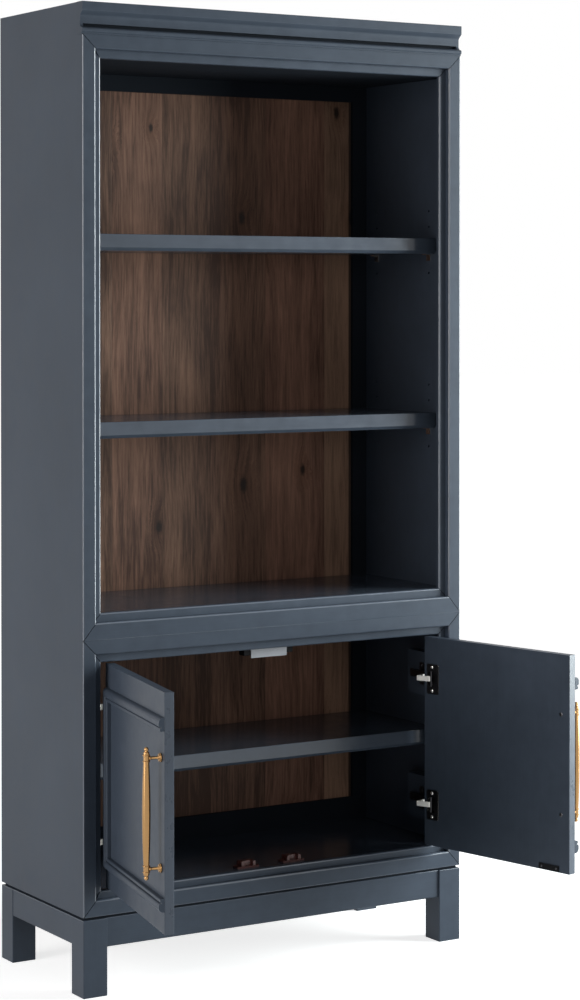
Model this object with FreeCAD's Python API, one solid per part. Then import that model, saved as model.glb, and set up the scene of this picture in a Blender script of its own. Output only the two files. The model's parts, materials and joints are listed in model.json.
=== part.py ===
import FreeCAD, Part
import math
import os

# Tall bookcase: open shelves above, a cupboard with two doors below, on four square legs.
# Millimetres, +Z up. The origin is on the floor under the middle of the case's front face,
# and the doors face -Y. The doors and the hinge links are drawn standing open.

os.makedirs("parts", exist_ok=True)
V = FreeCAD.Vector

# Case
CASE_W = 868.0
CASE_D = 360.0
CASE_TOP = 1880.0
LEG_TOP = 147.5
SPACER_T = 5.5
CASE_BOTTOM = LEG_TOP + SPACER_T
BOARD_T = 18.0
FRONT = 0.0
BACK = FRONT + CASE_D
OUTER_X = CASE_W / 2
INNER_X = OUTER_X - BOARD_T

# Face frames: a flat face, a rounded inner arris, then a lip set back behind it
FRAME_T = 22.0
LIP_BACK = 12.3
STILE_FACE = 28.0
STILE_LIP = 16.0
FRAME_SEAM = 676.0
UPPER_TOP_FACE = 27.0
UPPER_TOP_LIP = 16.5
UPPER_BOTTOM_FACE = 33.0
UPPER_BOTTOM_LIP = 16.5
LOWER_TOP_FACE = 28.0
LOWER_TOP_LIP = 16.5
LOWER_BOTTOM_FACE = 31.0
LOWER_BOTTOM_LIP = 14.0
FRAME_OUTER_ARRIS = 1.5
FRAME_INNER_ARRIS = 2.4
LIP_ARRIS = 1.2

# Crown moulding over the upper frame
CROWN_H = 61.3
CROWN_PROUD = 2.0
CROWN_END_LAP = 1.5
CROWN_FASCIA_H = 17.0
CROWN_EDGE_R = 3.0
CROWN_RECESS = 8.5
CROWN_COVE_H = 9.0
CROWN_COVE_R = 8.0
CROWN_BEAD_LIFT = 3.3
CROWN_BEAD_H = 9.0
CROWN_BEAD_R = 3.5
CROWN_SWEEP_R = 8.0
CROWN_QUIRK = 1.2
CROWN_GROOVE_RISE = 1.5
CROWN_GROOVE_H = 6.5
CROWN_GROOVE_DEPTH = 5.0
CROWN_END_CAP = 6.0

# Back: a painted frame with walnut panels let in between its members
BACK_FRAME_INSET = 37.0
BACK_FRAME_T = 18.0
BACK_STILE = 35.5
BACK_TOP_RAIL_H = 119.5
BACK_MID_RAIL_H = 80.0
BACK_MID_RAIL_BELOW_SEAM = 36.0
BACK_BOTTOM_RAIL_H = 93.0
WALNUT_SET_BACK = 7.0
WALNUT_T = 9.0

# Shelves
SHELF_T = 32.0
SHELF_FRONT_H = 25.5
SHELF_BEVEL = 6.5
SHELF_END_GAP = 1.5
SHELF_BACK_GAP = 2.0
OPEN_SHELF_SET_BACK = 59.0
CUPBOARD_SHELF_SET_BACK = 49.0
UPPER_SHELF_RISE = 361.0
MIDDLE_SHELF_RISE = 359.0
CUPBOARD_SHELF_RISE = 233.5

# Shelf supports: five-millimetre plugs in rows of holes
PIN_PITCH = 32.0
PIN_DROP = 7.0
PIN_R = 2.5
PIN_HOLE_R = 2.6
PIN_HOLE_DEPTH = 11.0
PIN_LENGTH = 10.5
PIN_FRONT_SET_BACK = 87.0
PIN_BACK_INSET = 41.0
SUPPORT_W = 14.0
SUPPORT_T = 1.8
SUPPORT_REACH = 12.0
SUPPORT_TAIL = 7.0
HOLES_BELOW = 1
HOLES_ABOVE = 3

# Base
LEG_W = 50.8
LEG_ARRIS = 1.5
APRON_T = 20.0
APRON_ARRIS = 3.5
LONG_APRON_H = 56.0
LONG_APRON_SET_BACK = 4.0
SIDE_APRON_H = 53.0
SIDE_APRON_SET_BACK = 0.8
SPACER_INSET = 6.0

# Doors, measured on the closed door: u from the hinge edge, p out of the outer face
DOOR_T = 17.6
DOOR_SIDE_GAP = 2.0
DOOR_MEETING_GAP = 3.0
DOOR_HEAD_GAP = 3.0
DOOR_FLOOR_GAP = 3.0
DOOR_ARRIS = 1.2
OPEN_DEG = 102.0
PIVOT_U = 10.2
PIVOT_P = 0.3

# Moulding planted on the doors: across the top and bottom and down the hinge side
MOULD_W = 24.0
MOULD_CREST = 11.0
MOULD_OUTER_R = 8.8
MOULD_BACK_R = 4.0
MOULD_CREST_W = 16.5
MOULD_QUIRK_P = 6.0
MOULD_QUIRK_W = 1.0
MOULD_BEAD_P = 8.6
MOULD_BEAD_R = 2.4
MOULD_U = 13.0
MOULD_DROP = 44.5
MOULD_RISE = 39.5

# Pulls
PULL_INSET = 21.2
PULL_RISE = 212.0
PULL_SPACING = 196.0
PULL_STAND = 27.4
PULL_LENGTH = 236.0
PULL_MID_R = 7.6
PULL_END_R = 5.5
PULL_COLLAR_R = 7.0
PULL_COLLAR_H = 2.4
COLLAR_OFFSET = 4.4
PULL_NECK_R = 3.4
PULL_TIP_R = 4.0
POST_R = 2.9
POST_COLLAR_R = 4.0
POST_COLLAR_T = 2.0
ROSETTE_R = 8.3
ROSETTE_T = 5.4
ROSETTE_RIM_T = 2.0
PULL_SCREW_R = 4.0
PULL_SCREW_H = 1.6

# Hinges, concealed: cup in the door, link, and arm on a mounting block
HINGE_DROP = 85.5
HINGE_RISE = 84.0
CUP_U = 22.5
CUP_R = 17.2
CUP_BORE_R = 17.5
CUP_DEPTH = 11.5
CUP_WALL = 1.0
CUP_PIN_OFFSET = 4.5
CUP_PIN_SUNK = 0.9
CUP_PIN_R = 1.5
FLANGE_T = 1.5
FLANGE_NEAR = 14.5
FLANGE_FAR = 17.5
FLANGE_H = 61.0
FLANGE_R = 4.0
CUP_SCREW_SPACING = 48.0
CUP_SCREW_R = 3.8
CUP_SCREW_H = 1.0
BLOCK_D = 103.0
BLOCK_H = 90.0
PLATE_T = 2.5
PLATE_SET_BACK = 60.0
PLATE_LENGTH = 54.0
PLATE_TAIL_H = 14.0
WING_OFFSET = 12.0
WING_W = 15.0
WING_H = 46.0
PLATE_SCREW_SPACING = 32.0
PLATE_SCREW_R = 3.6
PLATE_SCREW_H = 1.4
WING_R = 3.0
ARM_SET_BACK = 34.0
ARM_LENGTH = 68.0
ARM_H = 14.0
ARM_DEPTH = 9.5
ARM_WALL = 1.2
LINK_PIN_OUT = 9.0
LINK_PIN_IN = 3.0
LINK_PIN_R = 1.8
LINK_EYE_R = 3.4
LINK_HOLE_R = 2.1
LINK_T = 3.0
LINK_H = 10.4
LINK_BEND_OUT = 33.0
LINK_BEND_FORWARD = 8.0
LINK_END_OUT = 21.0
LINK_END_FORWARD = 34.0

# Small fittings
STRIKE_INSET = 25.5
STRIKE_W = 51.0
STRIKE_RISE = 2.0
STRIKE_H = 11.0
STRIKE_T = 2.0
STRIKE_ARRIS = 1.0
STRIKE_HOLE_R = 1.8
STRIKE_HOLE_INSET = 7.0
CATCH_W = 50.0
CATCH_GAP = 1.1
CATCH_D = 20.0
CATCH_BASE_H = 3.5
CATCH_H = 13.0
CATCH_HOUSING_W = 32.0
CATCH_SLOT_W = 20.0
CATCH_SLOT_D = 7.0
CATCH_R = 2.0
STOP_HALF_W = 41.0
STOP_SET_BACK = 42.0
STOP_DROP = 21.0
STOP_FLANGE_D = 30.0
STOP_METAL = 2.0
STOP_BODY_HALF_W = 56.0
STOP_BODY_D = 20.0
STOP_BODY_H = 14.0


def to_space(axis, a, b, along):
    """Point at (a, b) in the plane across an axis, at a distance along it."""
    if axis == "X":
        return V(along, a, b)
    if axis == "Y":
        return V(a, along, b)
    return V(a, b, along)


def outline(corners):
    """Closed wire through (point, radius) corners; a radius above zero rounds the corner."""
    firsts, lasts, arcs = [], [], []
    for i, (point, radius) in enumerate(corners):
        if radius == 0:
            firsts.append(point)
            lasts.append(point)
            arcs.append(None)
            continue
        back = corners[i - 1][0] - point
        ahead = corners[(i + 1) % len(corners)][0] - point
        back.normalize()
        ahead.normalize()
        half = back.getAngle(ahead) / 2
        middle = back + ahead
        middle.normalize()
        centre = point + middle * (radius / math.sin(half))
        firsts.append(point + back * (radius / math.tan(half)))
        lasts.append(point + ahead * (radius / math.tan(half)))
        arcs.append(Part.Arc(firsts[-1], centre - middle * radius, lasts[-1]).toShape())
    edges = []
    for i, arc in enumerate(arcs):
        if arc is not None:
            edges.append(arc)
        following = firsts[(i + 1) % len(arcs)]
        if lasts[i].distanceToPoint(following) > 1e-6:
            edges.append(Part.makeLine(lasts[i], following))
    return Part.Wire(edges)


def prism(axis, corners, start, end):
    """Solid with a rounded outline of (a, b, radius) corners, drawn out along an axis."""
    wire = outline([(to_space(axis, a, b, start), radius) for a, b, radius in corners])
    return Part.Face(wire).extrude(to_space(axis, 0, 0, end) - to_space(axis, 0, 0, start))


def board(x0, x1, y0, y1, z0, z1):
    return Part.makeBox(x1 - x0, y1 - y0, z1 - z0, V(x0, y0, z0))


def turned(steps, origin, direction):
    """Solid of revolution about a line through the origin point.

    Each step is (radius, along), or (radius, along, mid_radius, mid_along) for an arc
    that ends at the first pair and passes through the second.
    """
    side = V(1, 0, 0) if abs(direction.x) < 0.5 else V(0, 0, 1)
    side = side - direction * side.dot(direction)
    side.normalize()

    def at(radius, along):
        return origin + side * radius + direction * along

    edges = []
    for one, two in zip(steps, steps[1:] + steps[:1]):
        if len(two) == 4:
            edges.append(Part.Arc(at(*one[:2]), at(*two[2:]), at(*two[:2])).toShape())
        else:
            edges.append(Part.makeLine(at(*one[:2]), at(*two)))
    return Part.Face(Part.Wire(edges)).revolve(origin, direction, 360)


def mirrored(shape):
    return shape.mirror(V(0, 0, 0), V(1, 0, 0))


def save(node, shape):
    shape.exportStep("parts/" + node + ".step")


def save_pair(name, left_shape):
    save("left_" + name, left_shape)
    save("right_" + name, mirrored(left_shape))


# ---- Levels and planes that several pieces share

UPPER_FRAME_TOP = CASE_TOP - CROWN_H
CEILING_LOW = UPPER_FRAME_TOP - UPPER_TOP_FACE - UPPER_TOP_LIP
UPPER_FLOOR_TOP = FRAME_SEAM + UPPER_BOTTOM_FACE + UPPER_BOTTOM_LIP
CUPBOARD_CEILING_LOW = FRAME_SEAM - LOWER_TOP_FACE - LOWER_TOP_LIP
CUPBOARD_FLOOR_TOP = CASE_BOTTOM + LOWER_BOTTOM_FACE + LOWER_BOTTOM_LIP
MIDDLE_SHELF_TOP = UPPER_FLOOR_TOP + MIDDLE_SHELF_RISE
UPPER_SHELF_TOP = MIDDLE_SHELF_TOP + UPPER_SHELF_RISE
CUPBOARD_SHELF_TOP = CUPBOARD_FLOOR_TOP + CUPBOARD_SHELF_RISE
BACK_FRAME_Y = BACK - BACK_FRAME_INSET
PIN_FRONT_Y = FRONT + PIN_FRONT_SET_BACK
PIN_BACK_Y = BACK_FRAME_Y - PIN_BACK_INSET
OPENING_X = OUTER_X - STILE_FACE - STILE_LIP


# ---- Case boards


def pin_heights(shelf_top):
    """Heights of one row of support holes; the row's second hole carries the shelf."""
    carrying = shelf_top - SHELF_T - PIN_DROP
    return [carrying + PIN_PITCH * step for step in range(-HOLES_BELOW, HOLES_ABOVE + 1)]


def side_panel():
    panel = board(-OUTER_X, -INNER_X, FRONT + FRAME_T, BACK, CASE_BOTTOM, CASE_TOP)
    holes = []
    for shelf_top in (UPPER_SHELF_TOP, MIDDLE_SHELF_TOP, CUPBOARD_SHELF_TOP):
        for y in (PIN_FRONT_Y, PIN_BACK_Y):
            for z in pin_heights(shelf_top):
                holes.append(Part.makeCylinder(PIN_HOLE_R, PIN_HOLE_DEPTH, V(-INNER_X, y, z),
                                               V(-1, 0, 0)))
    return panel.cut(Part.makeCompound(holes))


def inner_board(z_top, back_y):
    return board(-INNER_X, INNER_X, FRONT + FRAME_T, back_y, z_top - BOARD_T, z_top)


save_pair("side_panel", side_panel())
save("top_panel", inner_board(CASE_TOP, BACK))
save("ceiling_panel", inner_board(CEILING_LOW + BOARD_T, BACK_FRAME_Y))
save("middle_floor_panel", inner_board(UPPER_FLOOR_TOP, BACK_FRAME_Y))
save("cupboard_ceiling_panel", inner_board(CUPBOARD_CEILING_LOW + BOARD_T, BACK_FRAME_Y))
save("cupboard_floor_panel", inner_board(CUPBOARD_FLOOR_TOP, BACK_FRAME_Y))


# ---- Crown moulding: fascia, cove, recess, groove, bead and quirk, run across the front


def crown():
    face = FRONT - CROWN_PROUD
    recess = FRONT + CROWN_RECESS
    end = OUTER_X + CROWN_END_LAP
    fascia_low = CASE_TOP - CROWN_FASCIA_H
    bead_low = UPPER_FRAME_TOP + CROWN_BEAD_LIFT
    bead_top = bead_low + CROWN_BEAD_H
    section = [
        (FRONT + FRAME_T, CASE_TOP, 0),
        (face, CASE_TOP, LIP_ARRIS),
        (face, fascia_low, CROWN_EDGE_R),
        (recess, fascia_low - CROWN_COVE_H, CROWN_COVE_R),
        (recess, bead_top, CROWN_SWEEP_R),
        (face, bead_top, CROWN_BEAD_R),
        (face, bead_low, CROWN_BEAD_R),
        (FRONT + CROWN_QUIRK, bead_low, 0),
        (FRONT + CROWN_QUIRK, UPPER_FRAME_TOP, 0),
        (FRONT + FRAME_T, UPPER_FRAME_TOP, 0),
    ]
    groove_low = bead_top + CROWN_GROOVE_RISE
    groove = board(-end + CROWN_END_CAP, end - CROWN_END_CAP, face,
                   recess + CROWN_GROOVE_DEPTH, groove_low, groove_low + CROWN_GROOVE_H)
    return prism("X", section, -end, end).cut(groove)


save("crown_moulding", crown())


# ---- Face frames, mitred from the outer corner to the step and on to the lip


def stepped_section(outer, inward, face_w, lip_w, outer_arris):
    """Frame member's section: (across, depth) with its outer edge at one side."""
    step = outer + inward * face_w
    lip = step + inward * lip_w
    return [
        (outer, FRONT, outer_arris),
        (step, FRONT, FRAME_INNER_ARRIS),
        (step, FRONT + LIP_BACK, 0),
        (lip, FRONT + LIP_BACK, LIP_ARRIS),
        (lip, FRONT + FRAME_T, 0),
        (outer, FRONT + FRAME_T, 0),
    ]


def face_frame(name, z0, z1, bottom_face, bottom_lip, top_face, top_lip):
    step_x = OUTER_X - STILE_FACE
    lip_x = step_x - STILE_LIP
    low = [(OUTER_X, z0), (step_x, z0 + bottom_face), (lip_x, z0 + bottom_face + bottom_lip)]
    high = [(OUTER_X, z1), (step_x, z1 - top_face), (lip_x, z1 - top_face - top_lip)]

    def mitred(bar, ring):
        mask = prism("Y", [(x, z, 0) for x, z in ring], FRONT, FRONT + FRAME_T)
        return bar.common(mask)

    stile = prism("Z", stepped_section(-OUTER_X, 1, STILE_FACE, STILE_LIP, FRAME_OUTER_ARRIS),
                  z0, z1)
    left_ring = [(-x, z) for x, z in low] + [(-x, z) for x, z in reversed(high)]
    left = mitred(stile, left_ring)
    save(name + "_left_stile", left)
    save(name + "_right_stile", mirrored(left))
    for end, z, inward, face_w, lip_w, corners in (
            ("top", z1, -1, top_face, top_lip, high),
            ("bottom", z0, 1, bottom_face, bottom_lip, low)):
        section = stepped_section(z, inward, face_w, lip_w, 0)
        rail = prism("X", [(y, across, radius) for across, y, radius in section],
                     -OUTER_X, OUTER_X)
        ring = [(-x, z_at) for x, z_at in corners]
        ring += [(x, z_at) for x, z_at in reversed(corners)]
        save(name + "_" + end + "_rail", mitred(rail, ring))


face_frame("upper_frame", FRAME_SEAM, UPPER_FRAME_TOP,
           UPPER_BOTTOM_FACE, UPPER_BOTTOM_LIP, UPPER_TOP_FACE, UPPER_TOP_LIP)
face_frame("lower_frame", CASE_BOTTOM, FRAME_SEAM,
           LOWER_BOTTOM_FACE, LOWER_BOTTOM_LIP, LOWER_TOP_FACE, LOWER_TOP_LIP)


# ---- Back: stiles and rails, and the walnut panels between them


BACK_Y1 = BACK_FRAME_Y + BACK_FRAME_T
BACK_OPEN_X = INNER_X - BACK_STILE
WALNUT_Y0 = BACK_FRAME_Y + WALNUT_SET_BACK
BACK_FRAME_TOP = CASE_TOP - BOARD_T
BACK_TOP_RAIL_LOW = BACK_FRAME_TOP - BACK_TOP_RAIL_H
BACK_MID_RAIL_LOW = FRAME_SEAM - BACK_MID_RAIL_BELOW_SEAM
BACK_MID_RAIL_TOP = BACK_MID_RAIL_LOW + BACK_MID_RAIL_H
BACK_BOTTOM_RAIL_TOP = CASE_BOTTOM + BACK_BOTTOM_RAIL_H

save_pair("back_stile",
          board(-INNER_X, -BACK_OPEN_X, BACK_FRAME_Y, BACK_Y1, CASE_BOTTOM, BACK_FRAME_TOP))
for rail_name, z0, z1 in (
        ("top", BACK_TOP_RAIL_LOW, BACK_FRAME_TOP),
        ("middle", BACK_MID_RAIL_LOW, BACK_MID_RAIL_TOP),
        ("bottom", CASE_BOTTOM, BACK_BOTTOM_RAIL_TOP)):
    save("back_" + rail_name + "_rail",
         board(-BACK_OPEN_X, BACK_OPEN_X, BACK_FRAME_Y, BACK_Y1, z0, z1))
for panel_name, z0, z1 in (
        ("upper", BACK_MID_RAIL_TOP, BACK_TOP_RAIL_LOW),
        ("lower", BACK_BOTTOM_RAIL_TOP, BACK_MID_RAIL_LOW)):
    save(panel_name + "_back_panel",
         board(-BACK_OPEN_X, BACK_OPEN_X, WALNUT_Y0, WALNUT_Y0 + WALNUT_T, z0, z1))


# ---- Shelves with a bevel under the front edge, on plug supports


def shelf(front_y, z_top):
    end = INNER_X - SHELF_END_GAP
    section = [
        (front_y, z_top, LIP_ARRIS),
        (front_y, z_top - SHELF_FRONT_H, LIP_ARRIS),
        (front_y + SHELF_BEVEL, z_top - SHELF_T, 0),
        (BACK_FRAME_Y - SHELF_BACK_GAP, z_top - SHELF_T, 0),
        (BACK_FRAME_Y - SHELF_BACK_GAP, z_top, 0),
    ]
    return prism("X", section, -end, end)


def support(y, z_under):
    """Plug in the side panel with a tail plate and a tongue under the shelf."""
    z_pin = z_under - PIN_DROP
    plug = Part.makeCylinder(PIN_R, PIN_LENGTH, V(-INNER_X, y, z_pin), V(-1, 0, 0))
    plate = board(-INNER_X, -INNER_X + SUPPORT_T, y - SUPPORT_W / 2, y + SUPPORT_W / 2,
                  z_pin - SUPPORT_TAIL, z_under)
    tongue = board(-INNER_X, -INNER_X + SUPPORT_REACH, y - SUPPORT_W / 2, y + SUPPORT_W / 2,
                   z_under - SUPPORT_T, z_under)
    return plug.fuse([plate, tongue]).removeSplitter()


SHELVES = (
    ("upper_shelf", OPEN_SHELF_SET_BACK, UPPER_SHELF_TOP),
    ("middle_shelf", OPEN_SHELF_SET_BACK, MIDDLE_SHELF_TOP),
    ("cupboard_shelf", CUPBOARD_SHELF_SET_BACK, CUPBOARD_SHELF_TOP),
)
supports = []
for shelf_name, set_back, shelf_top in SHELVES:
    save(shelf_name, shelf(FRONT + set_back, shelf_top))
    for pin_y in (PIN_FRONT_Y, PIN_BACK_Y):
        one = support(pin_y, shelf_top - SHELF_T)
        supports += [one, mirrored(one)]
save("shelf_supports", Part.makeCompound(supports))


# ---- Base: spacer board, legs and aprons


LEG_INNER_X = OUTER_X - LEG_W


def leg(y0):
    corners = [(-OUTER_X, y0), (-LEG_INNER_X, y0),
               (-LEG_INNER_X, y0 + LEG_W), (-OUTER_X, y0 + LEG_W)]
    return prism("Z", [(x, y, LEG_ARRIS) for x, y in corners], 0, LEG_TOP)


def apron_section(outer, inward, height, arris):
    """Apron's section: (across, z, radius) with a rounded lower edge on its outer face."""
    inner = outer + inward * APRON_T
    return [(outer, LEG_TOP, 0), (outer, LEG_TOP - height, arris),
            (inner, LEG_TOP - height, LEG_ARRIS), (inner, LEG_TOP, 0)]


def long_apron(outer_y, inward):
    section = apron_section(outer_y, inward, LONG_APRON_H, APRON_ARRIS)
    return prism("X", section, -LEG_INNER_X, LEG_INNER_X)


def side_apron():
    section = apron_section(-OUTER_X + SIDE_APRON_SET_BACK, 1, SIDE_APRON_H, LEG_ARRIS)
    return prism("Y", section, FRONT + LEG_W, BACK - LEG_W)


save("base_spacer", board(-OUTER_X + SPACER_INSET, OUTER_X - SPACER_INSET,
                          FRONT + SPACER_INSET, BACK - SPACER_INSET, LEG_TOP, CASE_BOTTOM))
save_pair("front_leg", leg(FRONT))
save_pair("back_leg", leg(BACK - LEG_W))
save("front_apron", long_apron(FRONT + LONG_APRON_SET_BACK, 1))
save("back_apron", long_apron(BACK - LONG_APRON_SET_BACK, -1))
save_pair("side_apron", side_apron())


# ---- Left door, drawn closed and then swung open; the right one is its mirror image


DOOR_X = -OPENING_X + DOOR_SIDE_GAP
DOOR_FREE_X = -DOOR_MEETING_GAP / 2
DOOR_LOW = CUPBOARD_FLOOR_TOP + DOOR_FLOOR_GAP
DOOR_TOP = CUPBOARD_CEILING_LOW - DOOR_HEAD_GAP
DOOR_Y = FRONT + LIP_BACK
DOOR_INNER_Y = DOOR_Y + DOOR_T
MOULD_TOP = DOOR_TOP - MOULD_DROP
MOULD_LOW = DOOR_LOW + MOULD_RISE
PULL_X = DOOR_FREE_X - PULL_INSET
PULL_Z = DOOR_LOW + PULL_RISE
STRIKE_X = DOOR_FREE_X - STRIKE_INSET - STRIKE_W / 2
PIVOT = V(DOOR_X + PIVOT_U, DOOR_Y - PIVOT_P, 0)
HINGE_HEIGHTS = (DOOR_LOW + HINGE_RISE, DOOR_TOP - HINGE_DROP)


def save_on_door(name, shape):
    save_pair(name, shape.rotated(PIVOT, V(0, 0, 1), -OPEN_DEG))


def door_slab():
    corners = [(DOOR_X, DOOR_Y), (DOOR_FREE_X, DOOR_Y),
               (DOOR_FREE_X, DOOR_INNER_Y), (DOOR_X, DOOR_INNER_Y)]
    slab = prism("Z", [(x, y, DOOR_ARRIS) for x, y in corners], DOOR_LOW, DOOR_TOP)
    bores = [Part.makeCylinder(CUP_BORE_R, CUP_DEPTH, V(DOOR_X + CUP_U, DOOR_INNER_Y, z),
                               V(0, -1, 0)) for z in HINGE_HEIGHTS]
    return slab.cut(Part.makeCompound(bores))


def mould_section(outer, inward):
    """Planted moulding's (across, y, radius) corners: a round, a quirk and an inner bead."""
    crest = DOOR_Y - MOULD_CREST
    quirk = DOOR_Y - MOULD_QUIRK_P
    bead = DOOR_Y - MOULD_BEAD_P
    bead_start = MOULD_CREST_W + MOULD_QUIRK_W
    across = [
        (0, DOOR_Y, 0),
        (0, crest, MOULD_OUTER_R),
        (MOULD_CREST_W, crest, MOULD_BACK_R),
        (MOULD_CREST_W, quirk, 0),
        (bead_start, quirk, 0),
        (bead_start, bead, MOULD_BEAD_R),
        (MOULD_W, bead, MOULD_BEAD_R),
        (MOULD_W, DOOR_Y, 0),
    ]
    return [(outer + inward * w, y, radius) for w, y, radius in across]


def door_moulding():
    """The three runs, mitred at the hinge side: upright, top and bottom."""
    x_outer = DOOR_X + MOULD_U
    x_inner = x_outer + MOULD_W
    y0, y1 = DOOR_Y - MOULD_CREST, DOOR_Y
    upright = prism("Z", mould_section(x_outer, 1), MOULD_LOW, MOULD_TOP)
    upright_mask = prism("Y", [(x_outer, MOULD_LOW, 0), (x_inner, MOULD_LOW + MOULD_W, 0),
                               (x_inner, MOULD_TOP - MOULD_W, 0), (x_outer, MOULD_TOP, 0)],
                         y0, y1)
    pieces = [("door_upright_moulding", upright.common(upright_mask))]
    for end, outer, inward in (("top", MOULD_TOP, -1), ("bottom", MOULD_LOW, 1)):
        section = [(y, z, radius) for z, y, radius in mould_section(outer, inward)]
        run = prism("X", section, x_outer, DOOR_FREE_X)
        mask = prism("Y", [(x_outer, outer, 0), (DOOR_FREE_X, outer, 0),
                           (DOOR_FREE_X, outer + inward * MOULD_W, 0),
                           (x_inner, outer + inward * MOULD_W, 0)], y0, y1)
        pieces.append(("door_" + end + "_moulding", run.common(mask)))
    return pieces


def pull_bar():
    """Turned bar: a slight belly, two collars at each post and a finial at each end."""
    post = PULL_SPACING / 2
    shoulder = post - COLLAR_OFFSET - PULL_COLLAR_H
    steps = [
        (0, 0),
        (PULL_MID_R, 0),
        (PULL_END_R, shoulder, PULL_MID_R - (PULL_MID_R - PULL_END_R) / 4, shoulder / 2),
    ]
    for collar in (post - COLLAR_OFFSET, post + COLLAR_OFFSET + PULL_COLLAR_H):
        steps += [
            (PULL_COLLAR_R, collar - PULL_COLLAR_H),
            (PULL_COLLAR_R, collar),
            (PULL_END_R, collar),
            (PULL_END_R, collar + COLLAR_OFFSET),
        ]
    neck = steps[-1][1]
    tip = PULL_LENGTH / 2
    slope = math.sqrt(0.5) * PULL_TIP_R
    steps += [
        (PULL_NECK_R, neck + COLLAR_OFFSET),
        (PULL_TIP_R, tip - PULL_TIP_R),
        (0, tip, slope, tip - PULL_TIP_R + slope),
    ]
    centre = V(PULL_X, DOOR_Y - PULL_STAND, PULL_Z)
    half = turned(steps, centre, V(0, 0, 1))
    return half.fuse(half.mirror(centre, V(0, 0, 1))).removeSplitter()


def pull_posts(bar):
    """Domed rosettes on the door, with posts that reach the bar."""
    posts = []
    for z in (PULL_Z - PULL_SPACING / 2, PULL_Z + PULL_SPACING / 2):
        foot = V(PULL_X, DOOR_Y, z)
        steps = [
            (0, 0),
            (ROSETTE_R, 0),
            (ROSETTE_R, ROSETTE_RIM_T),
            (POST_R, ROSETTE_T, (ROSETTE_R + POST_R) / 2, ROSETTE_T - ROSETTE_RIM_T / 2),
            (POST_R, PULL_STAND - PULL_END_R - POST_COLLAR_T),
            (POST_COLLAR_R, PULL_STAND - PULL_END_R - POST_COLLAR_T),
            (POST_COLLAR_R, PULL_STAND),
            (0, PULL_STAND),
        ]
        posts.append(turned(steps, foot, V(0, -1, 0)).cut(bar))
    return Part.makeCompound([largest(post) for post in posts])


def largest(shape):
    return max(shape.Solids, key=lambda solid: solid.Volume)


def pull_screws():
    """Pan heads of the pull's screws on the inside of the door."""
    heads = []
    for z in (PULL_Z - PULL_SPACING / 2, PULL_Z + PULL_SPACING / 2):
        head = Part.makeCylinder(PULL_SCREW_R, PULL_SCREW_H, V(PULL_X, DOOR_INNER_Y, z),
                                 V(0, 1, 0))
        heads.append(head.makeFillet(PULL_SCREW_H / 2, [head.Edges[0]]))
    return heads


def hinge_cup(z):
    """Drawn cup in the door's bore, with its cross pin, its flange and its two screws."""
    centre = V(DOOR_X + CUP_U, DOOR_INNER_Y, z)
    near, far = centre.x - FLANGE_NEAR, centre.x + FLANGE_FAR
    flange = prism("Y", [
        (near, z - FLANGE_H / 2, FLANGE_R), (far, z - FLANGE_H / 2, FLANGE_R),
        (far, z + FLANGE_H / 2, FLANGE_R), (near, z + FLANGE_H / 2, FLANGE_R)],
        DOOR_INNER_Y, DOOR_INNER_Y + FLANGE_T)
    cup = Part.makeCylinder(CUP_R, CUP_DEPTH, centre, V(0, -1, 0))
    hollow_top = V(centre.x, DOOR_INNER_Y + FLANGE_T, z)
    hollow = Part.makeCylinder(CUP_R - CUP_WALL, CUP_DEPTH + FLANGE_T - CUP_WALL, hollow_top,
                               V(0, -1, 0))
    half_pin = math.sqrt((CUP_R - CUP_WALL / 2) ** 2 - CUP_PIN_OFFSET ** 2)
    pin_low = V(centre.x - CUP_PIN_OFFSET, DOOR_INNER_Y - CUP_PIN_SUNK, z - half_pin)
    pin = Part.makeCylinder(CUP_PIN_R, 2 * half_pin, pin_low)
    solid = flange.fuse(cup).cut(hollow).fuse(pin)
    for screw_z in (z - CUP_SCREW_SPACING / 2, z + CUP_SCREW_SPACING / 2):
        solid = solid.fuse(Part.makeCylinder(CUP_SCREW_R, CUP_SCREW_H,
                                             V(centre.x, DOOR_INNER_Y + FLANGE_T, screw_z),
                                             V(0, 1, 0)))
    return solid.removeSplitter()


def strike():
    """Plate on the inside of the door, for the catch, with its two screws."""
    x0, x1 = STRIKE_X - STRIKE_W / 2, STRIKE_X + STRIKE_W / 2
    z0 = DOOR_LOW + STRIKE_RISE
    z1 = z0 + STRIKE_H
    plate = prism("Y", [(x0, z0, STRIKE_ARRIS), (x1, z0, STRIKE_ARRIS),
                        (x1, z1, STRIKE_ARRIS), (x0, z1, STRIKE_ARRIS)],
                  DOOR_INNER_Y, DOOR_INNER_Y + STRIKE_T)
    holes = [Part.makeCylinder(STRIKE_HOLE_R, STRIKE_T,
                               V(x, DOOR_INNER_Y, (z0 + z1) / 2), V(0, 1, 0))
             for x in (x0 + STRIKE_HOLE_INSET, x1 - STRIKE_HOLE_INSET)]
    return plate.cut(Part.makeCompound(holes))


save_on_door("door_slab", door_slab())
for moulding_name, moulding in door_moulding():
    save_on_door(moulding_name, moulding)
bar = pull_bar()
save_on_door("pull_bar", bar)
save_on_door("pull_posts", Part.makeCompound([pull_posts(bar)] + pull_screws()))
save_on_door("hinge_cups", Part.makeCompound([hinge_cup(z) for z in HINGE_HEIGHTS]))
save_on_door("strike_plate", strike())


# ---- Hinge blocks, arms and links


PLATE_Y = FRONT + PLATE_SET_BACK
WING_Y = PLATE_Y + WING_OFFSET
ARM_Y = FRONT + ARM_SET_BACK
LINK_PIN = V(-OPENING_X + LINK_PIN_OUT, ARM_Y + LINK_PIN_IN, 0)


def hinge_block(z):
    return board(-INNER_X, -OPENING_X, FRONT + FRAME_T,
                 FRONT + FRAME_T + BLOCK_D, z - BLOCK_H / 2, z + BLOCK_H / 2)


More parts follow.
